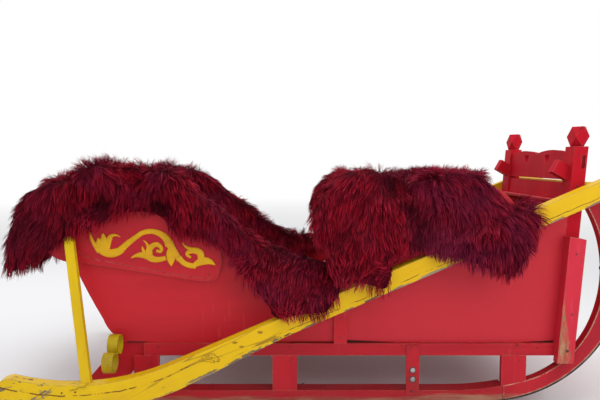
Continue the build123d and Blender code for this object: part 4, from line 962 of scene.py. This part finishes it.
# fleece throws: a thin hide made from each throw's solid and settled on the boards, and long wool on it
hideLook = {
    "voxel": 0.016,        # size of the hide's mesh
    "pileDepth": 0.034,    # the hide lies this far under the tips of the wool
    "wallFace": 0.485,
    "thick": 0.005,
    "inSteps": 6,
    "formGain": 1.7,       # the lumps are drawn higher, because smoothing lowers them
    "settleFrames": 10,
    "clothGap": 0.004,
    "settleCap": 0.018,    # the most that a point may sag
    "barClear": 0.008,     # the hide stays this far outside the outriggers
    "propLow": 0.84,
    "search": 0.40,        # how far a board is looked for from the throw's solid
}
clothLook = {
    "quality": 5, "mass": 0.12, "tension_stiffness": 20, "compression_stiffness": 20, "shear_stiffness": 10,
    "bending_stiffness": 6,
}
throws = {
    "rear_throw": {
        "name": "rear", "flat": (1.72, 1.75), "seed": 11, "strands": 37000,
        "rests": ["back_panel", "side_wall_right", "side_wall_left", "rear_seat_board"],
        "pieces": ("Right", "Left"),
        # behind this X the throw hangs over the back, and what faces rearward is its outside too
        "tail": -1.15,
        # lumps and hollows on the near side: X, Z, reach, height
        "forms": (
            (-1.10, 1.10, 0.070, 0.030), (-1.04, 1.13, 0.070, 0.034), (-0.97, 1.10, 0.060, 0.028),
            (-1.04, 0.995, 0.050, -0.045), (-1.07, 0.92, 0.070, 0.018), (-0.96, 0.97, 0.060, 0.016),
            (-1.15, 0.90, 0.055, 0.022),
            (-1.33, 1.07, 0.090, 0.026), (-1.31, 0.96, 0.100, 0.022), (-1.38, 0.84, 0.090, 0.018),
            (-0.69, 1.10, 0.100, 0.026), (-0.755, 0.99, 0.040, -0.050), (-0.66, 0.98, 0.060, 0.016),
            (-0.50, 0.93, 0.060, 0.020), (-1.00, 1.035, 0.026, -0.030), (-1.10, 0.985, 0.030, -0.030),
            (-0.715, 0.985, 0.026, -0.036), (-0.845, 0.935, 0.035, -0.022), (-0.60, 0.90, 0.030, -0.018),
        ),
        # folds in the wool, where it is shorter and painted shade darkens it: X, Z, reach, depth
        "shadedFolds": (
            (-1.175, 1.03, 0.035, 0.5), (-1.175, 0.94, 0.035, 0.5), (-1.04, 0.99, 0.050, 0.9),
            (-0.765, 0.985, 0.050, 0.9), (-0.58, 0.985, 0.030, 0.6), (-0.20, 0.80, 0.060, 0.5),
        ),
        # painted shade, where the wool is drawn darker: X, Z, reach, share
        "shadeSpots": (
            (-1.44, 0.96, 0.17, 0.75), (-1.26, 0.86, 0.10, 0.45), (-0.20, 0.74, 0.10, 0.3), (0.02, 0.74, 0.06, 0.4),
        ),
        "plum": 0.30,
        # how an edge runs on over or under its neighbour: from X, to X, then its shift forward, outward and up
        "reachOver": ((-1.28, -1.44, -0.055, 0.0, 0.0), (-0.16, -0.01, 0.078, -0.006, 0.030)),
        # which way the wool lies, where it isn't straight down: X, Z, reach, along X, up
        "combing": (
            (-1.38, 0.95, 0.22, -1.1, -0.3), (-1.08, 1.12, 0.09, 0.9, 0.5), (-1.02, 0.95, 0.10, -0.7, -0.2),
            (-0.85, 1.12, 0.12, -0.6, 0.3), (-0.66, 1.08, 0.12, 0.9, 0.0), (-0.55, 0.85, 0.14, 0.5, -0.2),
            (-0.20, 0.72, 0.14, -0.5, -0.2), (-0.05, 0.60, 0.12, 0.5, -0.3),
        ),
    },
    "bench_throw": {
        "name": "bench", "flat": (0.95, 1.75), "seed": 23, "strands": 37000, "tail": -9,
        "rests": ["bench_back", "side_wall_right", "side_wall_left", "bench_board"],
        "pieces": ("",),
        "forms": (
            (0.16, 1.08, 0.070, 0.020), (0.30, 0.98, 0.060, 0.024), (0.355, 1.09, 0.030, -0.036),
            (0.24, 0.85, 0.070, 0.018), (0.09, 0.86, 0.050, -0.020), (0.28, 0.70, 0.060, 0.018),
            (0.37, 0.90, 0.045, 0.020),
        ),
        "shadedFolds": (
            (0.325, 1.12, 0.035, 1.0), (0.335, 1.065, 0.034, 1.0), (0.375, 1.00, 0.024, 0.7), (0.06, 0.80, 0.040, 0.5),
        ),
        "shadeSpots": ((0.10, 0.90, 0.05, 0.5), (0.12, 0.70, 0.05, 0.3)),
        "plum": 0.05,
        "reachOver": ((0.33, 0.385, 0.046, 0.018, 0.0), (0.20, 0.11, -0.034, 0.004, -0.010)),
        "combing": (
            (0.14, 0.95, 0.13, -0.9, -0.2), (0.30, 0.92, 0.09, 0.8, -0.5), (0.22, 0.70, 0.12, -0.8, -0.1),
            (0.20, 1.12, 0.10, -0.5, 0.4),
        ),
    },
    "driver_throw": {
        "name": "driver", "flat": (0.70, 1.85), "seed": 37, "strands": 37000, "tail": -9,
        "core": (0.65, 0, 0.93),
        "rests": ["driver_seat_board", "side_wall_right", "side_wall_left"],
        "pieces": ("",),
        "forms": (
            (0.395, 1.07, 0.040, -0.050), (0.425, 1.01, 0.030, -0.040), (0.460, 0.945, 0.028, -0.034),
            (0.455, 0.875, 0.026, -0.026), (0.62, 1.05, 0.090, 0.016), (0.80, 1.00, 0.080, 0.020),
            (0.70, 0.88, 0.070, -0.018), (0.90, 0.86, 0.080, 0.022), (0.96, 0.95, 0.050, 0.016),
            (0.55, 0.88, 0.060, 0.016),
        ),
        "shadedFolds": (
            (0.37, 1.10, 0.040, 1.0), (0.385, 1.04, 0.038, 1.0), (0.43, 0.97, 0.034, 0.9),
            (0.475, 0.91, 0.030, 0.8), (0.45, 0.84, 0.030, 0.7), (0.45, 0.78, 0.030, 0.6),
        ),
        "shadeSpots": ((0.50, 0.90, 0.08, 0.4), (0.90, 0.75, 0.09, 0.3)),
        "plum": 0.62,
        "reachOver": ((0.50, 0.425, -0.080, -0.014, 0.0), (0.96, 1.02, 0.014, 0.0, -0.004)),
        "combing": (
            (0.45, 1.05, 0.08, -0.7, 0.3), (0.66, 1.02, 0.15, 0.7, 0.0), (0.60, 0.86, 0.12, -0.2, -0.5),
            (0.95, 0.90, 0.16, 0.8, -0.3), (0.80, 0.78, 0.10, -0.6, -0.2), (0.86, 1.02, 0.09, 0.8, 0.1),
        ),
    },
}


# smooth random values, one for each point, about -1 to 1
def smoothNoise(points, seed, size):
    draw = np.random.default_rng(seed)
    total = np.zeros(len(points))
    for wave in range(8):
        direction = draw.normal(size=3)
        direction *= 2 * math.pi / (size * draw.uniform(0.7, 1.6)) / np.linalg.norm(direction)
        total += np.sin(points @ direction + draw.uniform(0, 2 * math.pi))
    return total / 3.4


def unit(vectors):
    return vectors / np.maximum(np.linalg.norm(vectors, axis=-1, keepdims=True), 1e-9)


# points and faces of a piece, with its modifiers
def readMesh(piece):
    seen = piece.evaluated_get(bpy.context.evaluated_depsgraph_get())
    mesh = seen.to_mesh()
    points = np.zeros(len(mesh.vertices) * 3)
    mesh.vertices.foreach_get("co", points)
    faces = [tuple(face.vertices) for face in mesh.polygons]
    seen.to_mesh_clear()
    return points.reshape(-1, 3), faces


def pointNormals(points, quads):
    one = np.cross(points[quads[:, 2]] - points[quads[:, 0]], points[quads[:, 3]] - points[quads[:, 1]])
    total = np.zeros_like(points)
    for corner in range(4):
        np.add.at(total, quads[:, corner], one)
    return unit(total)


def neighbourMean(points, quads):
    total = np.zeros_like(points)
    count = np.zeros(len(points))
    for first, second in ((0, 1), (1, 2), (2, 3), (3, 0)):
        for one, other in ((first, second), (second, first)):
            np.add.at(total, quads[:, one], points[quads[:, other]])
            np.add.at(count, quads[:, one], 1)
    return total / np.maximum(count, 1)[:, None]


# values drawn half way to their neighbours' mean, as often as asked
def eased(values, quads, turns=1):
    single = values.ndim == 1
    if single:
        values = values[:, None]
    for turn in range(turns):
        values = 0.5 * values + 0.5 * neighbourMean(values, quads)
    return values[:, 0] if single else values


# share of a round spot at each place, 1 at its middle
def spotShare(places, x, z, reach):
    away = np.hypot(places[:, 0] - x, places[:, 2] - z)
    return np.exp(-((away / reach) ** 2))


# smooths the sheet wherever a face has turned away from the way it should face
def unfold(points, quads, wanted):
    wanted = unit(wanted[quads].sum(axis=1))
    for turn in range(60):
        faced = np.cross(points[quads[:, 2]] - points[quads[:, 0]], points[quads[:, 3]] - points[quads[:, 1]])
        turned = (unit(faced) * wanted).sum(axis=1) < 0.35
        if not turned.any():
            break
        loose = np.zeros((len(points), 1))
        loose[quads[turned].ravel()] = 1
        loose = np.clip(loose + neighbourMean(loose, quads), 0, 1)
        points = points + 0.6 * loose * (neighbourMean(points, quads) - points)
    return points


# points, faces and search tree of every node but the skipped ones
def treeOf(skipped):
    points, faces, start = [], [], 0
    for name, node in nodes.items():
        if name in skipped:
            continue
        own = [tuple(vertex.co) for vertex in node.data.vertices]
        points += own
        faces += [tuple(index + start for index in face.vertices) for face in node.data.polygons]
        start += len(own)
    return points, faces, BVHTree.FromPolygons(points, faces)


carrierPoints, carrierFaces, carriers = treeOf(list(throws))


# keeps the hide outside the outriggers' outer faces, which splay outwards towards the rear
def clearBars(points, look):
    barOut = barMiddle(points[:, 0]) + barLook["half"] + look["barClear"]
    barTop = 0.566 + 0.413 * points[:, 0]
    over = np.clip(points[:, 2] - barTop - 0.006, 0, None) * 1.4
    below = points[:, 2] > barTop - 0.15
    beside = (np.abs(points[:, 1]) > look["wallFace"] + 0.045) & below & (points[:, 0] > -0.45)
    wanted = np.where(beside, np.maximum(np.abs(points[:, 1]), barOut - over), np.abs(points[:, 1]))
    points[:, 1] = np.sign(points[:, 1]) * wanted
    return points


# keeps the hide outside the tops of the props
def coverProps(points, look):
    beside = (points[:, 0] < -1.0) & (points[:, 2] > look["propLow"]) & (np.abs(points[:, 1]) > look["wallFace"])
    for index in np.nonzero(beside)[0]:
        x, y, z = points[index]
        side = math.copysign(1, y)
        hit = carriers.ray_cast(Vector((x, side, z)), Vector((0, -side, 0)), 1 - abs(y))[0]
        if hit is not None:
            points[index, 1] = hit.y + side * look["barClear"]
    return points


# lets the sheet sag under its own weight onto the boards for a moment
def settle(sheet, start, look):
    board = addObject("boardCopy", carrierPoints, carrierFaces)
    board.modifiers.new("hold", "COLLISION")
    board.collision.thickness_outer = look["clothGap"]
    cloth = sheet.modifiers.new("settle", "CLOTH")
    for setting, value in clothLook.items():
        setattr(cloth.settings, setting, value)
    cloth.collision_settings.distance_min = look["clothGap"]
    for frameNumber in range(1, look["settleFrames"] + 1):
        bpy.context.scene.frame_set(frameNumber)
    points = readMesh(sheet)[0]
    sheet.modifiers.remove(cloth)
    bpy.data.objects.remove(board)
    bpy.context.scene.frame_set(1)
    moved = points - start
    far = np.linalg.norm(moved, axis=1, keepdims=True)
    return start + moved * np.minimum(1, look["settleCap"] / np.maximum(far, 1e-9))


# the outer skin of a throw's solid, drawn in by the depth of the pile and given its folds
def makeHide(node, throw, look):
    solid = bpy.data.objects.new("solidCopy", nodes[node].data.copy())
    bpy.context.scene.collection.objects.link(solid)
    even = solid.modifiers.new("even", "REMESH")
    even.mode = "VOXEL"
    even.voxel_size = look["voxel"]
    points, faces = readMesh(solid)
    bpy.data.objects.remove(solid)
    quads = np.array(faces)
    points = eased(points, quads, 4)
    normals = pointNormals(points, quads)

    # the outside has the boards behind it, the underside has them in front
    around = treeOf([node])[2]
    label = np.zeros(len(points))
    close = np.zeros(len(points), bool)
    for index, (place, normal) in enumerate(zip(points, normals)):
        place, normal = Vector(place), Vector(normal)
        before = around.ray_cast(place - normal * 0.012, normal, look["search"])[3]
        behind = around.ray_cast(place, -normal, look["search"])[3]
        label[index] = 1 / ((behind or 1) + 0.02) - 1 / ((before or 1) + 0.02)
        close[index] = before is not None and before < 0.034
    label = eased(np.clip(label, -12, 12), quads, 6)
    outward = normals[:, 1] * np.sign(points[:, 1])
    outside = np.abs(points[:, 1]) > look["wallFace"] + 0.005
    under = label < 0
    if "core" in throw:
        under = ((points - np.array(throw["core"])) * normals).sum(axis=1) < 0
        under |= close
    under |= outside & (outward < 0.10) & (normals[:, 2] < 0.3)
    under &= ~(outside & (outward > 0.5))
    under &= ~((points[:, 0] < throw["tail"]) & (normals[:, 0] < -0.4) & (label > 0))
    kept = quads[~under[quads].any(axis=1)]
    used, kept = np.unique(kept, return_inverse=True)
    kept = kept.reshape(-1, 4)
    points = points[used]
    normals = pointNormals(points, kept)
    wanted = eased(normals, kept, 3)
    depth = np.full(len(points), look["pileDepth"])
    room = np.full(len(points), 0.030)
    for index, (place, normal) in enumerate(zip(points, normals)):
        hit = carriers.ray_cast(Vector(place), -Vector(normal), 0.2)
        if hit[0] is not None:
            depth[index] = min(look["pileDepth"], max(hit[3] - 0.010, 0.002))
            room[index] = min(0.030, max(hit[3] - 0.012 - depth[index], 0))
    depth, room = eased(depth, kept, 4), eased(room, kept, 4)

    lumps = 0.012 * smoothNoise(points, throw["seed"], 0.30) + 0.007 * smoothNoise(points, throw["seed"] + 1, 0.14)
    near = points[:, 1] < -0.2
    for x, z, reach, height in throw["forms"]:
        lumps += np.where(near, look["formGain"] * height * spotShare(points, x, z, reach), 0)
    lumps = np.maximum(np.minimum(lumps, 0.042), -room)
    # in small steps, so that sharp corners don't turn inside out
    for step in range(look["inSteps"]):
        points = points + pointNormals(points, kept) * ((lumps - depth) / look["inSteps"])[:, None]
        points = eased(points, kept)
    for start, stop, forward, out, up in throw["reachOver"]:
        share = np.clip((points[:, 0] - start) / (stop - start), 0, 1.2)
        share = share * (np.abs(points[:, 1]) > look["wallFace"] - 0.05)
        points[:, 0] += share * forward
        points[:, 1] += share * out * np.sign(points[:, 1])
        points[:, 2] += share * up
    points = eased(points, kept)
    points = unfold(coverProps(clearBars(points, look), look), kept, wanted)
    sheet = addObject(throw["name"] + "Hide", points, [[int(index) for index in face] for face in kept])
    if look["settleFrames"]:
        points = settle(sheet, points, look)
        points = clearBars(0.6 * points + 0.4 * neighbourMean(points, kept), look)
        points = coverProps(unfold(points, kept, wanted), look)
        sheet.data.vertices.foreach_set("co", points.astype(np.float32).ravel())
        sheet.data.update()
    sheet.data.shade_smooth()
    return sheet, points, kept


# wool, as tapered strands that gather into locks and hang down
woolLook = {
    "length": 0.074,
    "lift": 0.62,          # how far the wool stands from the hide at its root
    "fall": 0.55,          # how strongly each bend turns down
    "stray": 0.34,         # how far each lock leans its own way
    "width": 0.0023,
    "lockSize": 0.011,
    "tuftSize": 0.036,
    "steps": 3,
    "root": srgb(70, 0, 14),
    "tip": srgb(160, 6, 30),
    "paleTip": srgb(218, 64, 98),
    "darkLock": srgb(84, 0, 18),
    "plum": srgb(98, 14, 44),      # broad patches where the dye has gone darker
    # painted shade deep in the folds
    "hollowShade": srgb(34, 0, 8),
}
skinLook = {
    "undercoat": srgb(88, 4, 26),
    "undercoatDark": srgb(52, 1, 14),
    "skin": srgb(116, 40, 50),
    "skinDark": srgb(84, 22, 34),
}


# roots spread evenly over the hide, with the direction that the hide faces at each
def scatter(points, quads, count, draw):
    normals = pointNormals(points, quads)
    corners = np.concatenate([quads[:, [0, 1, 2]], quads[:, [0, 2, 3]]])
    edgeA = points[corners[:, 1]] - points[corners[:, 0]]
    edgeB = points[corners[:, 2]] - points[corners[:, 0]]
    areas = np.linalg.norm(np.cross(edgeA, edgeB), axis=1) / 2
    chosen = draw.choice(len(corners), count, p=areas / areas.sum())
    shareA, shareB = draw.random((2, count))
    flip = shareA + shareB > 1
    shareA, shareB = np.where(flip, 1 - shareA, shareA), np.where(flip, 1 - shareB, shareB)
    weights = np.stack([1 - shareA - shareB, shareA, shareB], axis=1)
    roots = (points[corners[chosen]] * weights[:, :, None]).sum(axis=1)
    faced = unit((normals[corners[chosen]] * weights[:, :, None]).sum(axis=1))
    return roots, faced, areas.sum()


# the strand that leads each strand's lock, with locks about the spacing apart
def leaders(roots, density, spacing, draw):
    count = len(roots)
    chosen = draw.choice(count, min(count, max(8, int(count / density / spacing**2))), replace=False)
    tree = KDTree(len(chosen))
    for index, place in enumerate(roots[chosen]):
        tree.insert(place, index)
    tree.balance()
    return chosen[np.array([tree.find(place)[1] for place in roots])]


# how deep in a fold each place is, from 0 to 1
def foldAt(places, shadedFolds):
    deep = np.zeros(len(places))
    for x, z, reach, depth in shadedFolds:
        deep += np.where(places[:, 1] < -0.2, depth * spotShare(places, x, z, reach), 0)
    return np.clip(deep, 0, 1)


def growWool(name, roots, faced, density, throw, look, seed):
    draw = np.random.default_rng(seed)
    count = len(roots)
    down = np.array([0.0, 0.0, -1.0])
    swirl = np.stack([smoothNoise(roots, seed + 5 + axis, 0.22) for axis in range(3)], axis=1)
    comb = down - faced * (faced @ down)[:, None] + 0.45 * swirl
    for x, z, reach, along, up in throw["combing"]:
        share = np.exp(-((roots[:, 0] - x) ** 2 + (roots[:, 2] - z) ** 2) / reach**2)
        comb += share[:, None] * np.array([along, 0.0, up])
    comb = comb - faced * (comb * faced).sum(axis=1, keepdims=True)

    # each lock leans its own way; wool in a fold is short, and painted shade darkens the folds and the listed spots
    lean = draw.normal(scale=look["stray"], size=(count, 3))[leaders(roots, density, 1.6 * look["lockSize"], draw)]
    heading = unit(faced * look["lift"] + comb + lean + draw.normal(scale=0.13, size=(count, 3)))
    shadeSpots = np.zeros(count)
    for x, z, reach, share in throw["shadeSpots"]:
        shadeSpots += share * spotShare(roots, x, z, reach)
    length = look["length"] * draw.uniform(0.72, 1.12, count) * (1 + 0.14 * smoothNoise(roots, seed + 9, 0.12))
    length *= 1 - 0.5 * foldAt(roots, throw["shadedFolds"])
    steps = look["steps"]
    paths = np.zeros((steps + 1, count, 3))
    paths[0] = roots
    for step in range(1, steps + 1):
        heading = unit(heading + down * look["fall"] / steps * 1.5 + draw.normal(scale=0.07, size=(count, 3)))
        paths[step] = paths[step - 1] + heading * (length / steps)[:, None]
    owners = []
    for spacing, pull in ((look["lockSize"], 0.58), (look["tuftSize"], 0.34)):
        owner = leaders(roots, density, spacing, draw)
        owners.append(owner)
        for step in range(1, steps + 1):
            gather = pull * (step / steps) ** 1.4
            paths[step] += (paths[step][owner] - paths[step]) * gather
    along = unit(paths[1] - paths[0])
    across = unit(np.cross(along, faced + draw.normal(scale=0.55, size=(count, 3))))
    half = look["width"] / 2 * draw.uniform(0.7, 1.25, count)
    rows = []
    for step in range(steps):
        taper = half * (1.0, 0.95, 0.7)[step]
        rows += [paths[step] - across * taper[:, None], paths[step] + across * taper[:, None]]
    rows.append(paths[steps])
    points = np.stack(rows, axis=1).reshape(-1, 3)

    perStrand = 2 * steps + 1
    first = np.arange(count)[:, None] * perStrand
    bands = np.array([[0, 1, 3, 2], [2, 3, 5, 4]])
    fourSided = (first[:, :, None] + bands[None]).reshape(-1, 4)
    threeSided = first + np.array([[4, 5, 6]])
    mesh = bpy.data.meshes.new(name)
    mesh.vertices.add(len(points))
    mesh.vertices.foreach_set("co", points.astype(np.float32).ravel())
    corners = np.concatenate([fourSided.ravel(), threeSided.ravel()])
    mesh.loops.add(len(corners))
    mesh.loops.foreach_set("vertex_index", corners.astype(np.int32))
    mesh.polygons.add(len(fourSided) + len(threeSided))
    starts = np.concatenate([np.arange(len(fourSided)) * 4, len(fourSided) * 4 + np.arange(count) * 3])
    mesh.polygons.foreach_set("loop_start", starts.astype(np.int32))
    mesh.update(calc_edges=True)
    mesh.shade_smooth()

    # each strand's own tone, its lock's tone, and how far up the strand a point is
    lockTone = draw.random(count)
    values = {
        "strandTone": np.repeat(draw.random(count), perStrand),
        "lockTone": np.repeat(0.6 * lockTone[owners[0]] + 0.4 * lockTone[owners[1]], perStrand),
        "strandHeight": np.tile(np.array([0, 0, 1, 1, 2, 2, 3]) / 3, count),
        "foldShade": foldAt(points, throw["shadedFolds"]),
        "shadeSpots": np.repeat(np.clip(shadeSpots, 0, 1), perStrand),
        "plum": np.full(len(points), throw["plum"]),
        "upward": np.repeat(np.clip(faced[:, 2], 0, 1), perStrand),
    }
    for label, value in values.items():
        mesh.attributes.new(label, "FLOAT", "POINT").data.foreach_set("value", value.astype(np.float32))
    piece = bpy.data.objects.new(name, mesh)
    bpy.context.scene.collection.objects.link(piece)
    return piece


def readValue(tree, label):
    return addNode(tree, "ShaderNodeAttribute", attribute_type="GEOMETRY", attribute_name=label).outputs["Fac"]


def woolFinish(look):
    material, tree, surface = newMaterial("dyedWool", Specular_IOR_Level=0.08)
    height = readValue(tree, "strandHeight")
    strand = readValue(tree, "strandTone")
    lock = readValue(tree, "lockTone")
    body = mixColour(tree, ramp(tree, height, 0.0, 0.75), look["root"], look["tip"])
    body = mixColour(tree, ramp(tree, lock, 0.60, 0.30, 0.0, 0.65), body, look["darkLock"])
    pale = times(tree, ramp(tree, strand, 0.45, 1.0), ramp(tree, height, 0.35, 1.0))
    patches = noise(tree, objectPlace(tree), 5.5, 3.0)
    plum = plus(tree, ramp(tree, patches, 0.40, 0.62, -0.35, 0.35), readValue(tree, "plum"))
    body = mixColour(tree, ramp(tree, plum, 0.0, 1.0), body, look["plum"])
    # painted shade: the listed spots take the root's dark colour
    body = mixColour(tree, readValue(tree, "shadeSpots"), body, look["root"])
    # painted light: wool facing up gets more pale tips, as if lit from above
    topLight = plus(tree, times(tree, readValue(tree, "upward"), 0.75), 0.35)
    colour = mixColour(tree, times(tree, pale, topLight), body, look["paleTip"])
    # painted shade: wool in the folds is drawn near black
    colour = mixColour(tree, times(tree, readValue(tree, "foldShade"), 0.85), colour, look["hollowShade"])
    link(tree, colour, surface.inputs["Base Color"])
    link(tree, ramp(tree, strand, 0.0, 1.0, 0.55, 0.75), surface.inputs["Roughness"])
    return material


def undercoatFinish(look):
    material, tree, surface = newMaterial("woolUndercoat", Specular_IOR_Level=0.1)
    place = objectPlace(tree)
    patches = noise(tree, place, 90, 5.0, 0.7)
    link(tree, mixColour(tree, ramp(tree, patches, 0.35, 0.65), look["undercoatDark"], look["undercoat"]),
         surface.inputs["Base Color"])
    link(tree, ramp(tree, patches, 0.3, 0.7, 0.95, 0.8), surface.inputs["Roughness"])
    addBump(tree, surface, patches, 0.004)
    return material


def skinFinish(look):
    material, tree, surface = newMaterial("tannedSkin", Specular_IOR_Level=0.3)
    place = objectPlace(tree)
    patches = noise(tree, place, 14, 5.0, 0.6)
    link(tree, mixColour(tree, ramp(tree, patches, 0.3, 0.7), look["skinDark"], look["skin"]),
         surface.inputs["Base Color"])
    link(tree, ramp(tree, patches, 0.3, 0.7, 0.65, 0.85), surface.inputs["Roughness"])
    addBump(tree, surface, noise(tree, place, 120, 4.0), 0.0008)
    return material


finishes["dyedWool"] = woolFinish(woolLook)
finishes["woolUndercoat"] = undercoatFinish(skinLook)
finishes["tannedSkin"] = skinFinish(skinLook)

for node, throw in throws.items():
    nodes[node].data.materials[0] = finishes["woolUndercoat"]
    sheet, points, quads = makeHide(node, throw, hideLook)
    sheet.data.materials.append(finishes["woolUndercoat"])
    sheet.data.materials.append(finishes["tannedSkin"])
    thick = sheet.modifiers.new("thick", "SOLIDIFY")
    thick.thickness = hideLook["thick"]
    thick.offset = -1
    thick.material_offset = 1
    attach(sheet, "root")
    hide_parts(node)

    draw = np.random.default_rng(throw["seed"])
    total = throw["strands"] * len(throw["pieces"])
    roots, faced, area = scatter(points, quads, total, draw)
    order = np.argsort(roots[:, 1])
    for part, label in enumerate(throw["pieces"]):
        chosen = order[part * throw["strands"]:(part + 1) * throw["strands"]]
        name = throw["name"] + "Wool" + label
        piece = growWool(name, roots[chosen], faced[chosen], total / area, throw, woolLook, throw["seed"] + 50 * part)
        piece.data.materials.append(finishes["dyedWool"])
        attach(piece, "root")
    print(throw["name"], "throw made, hide area", round(float(area), 2), "square metres")
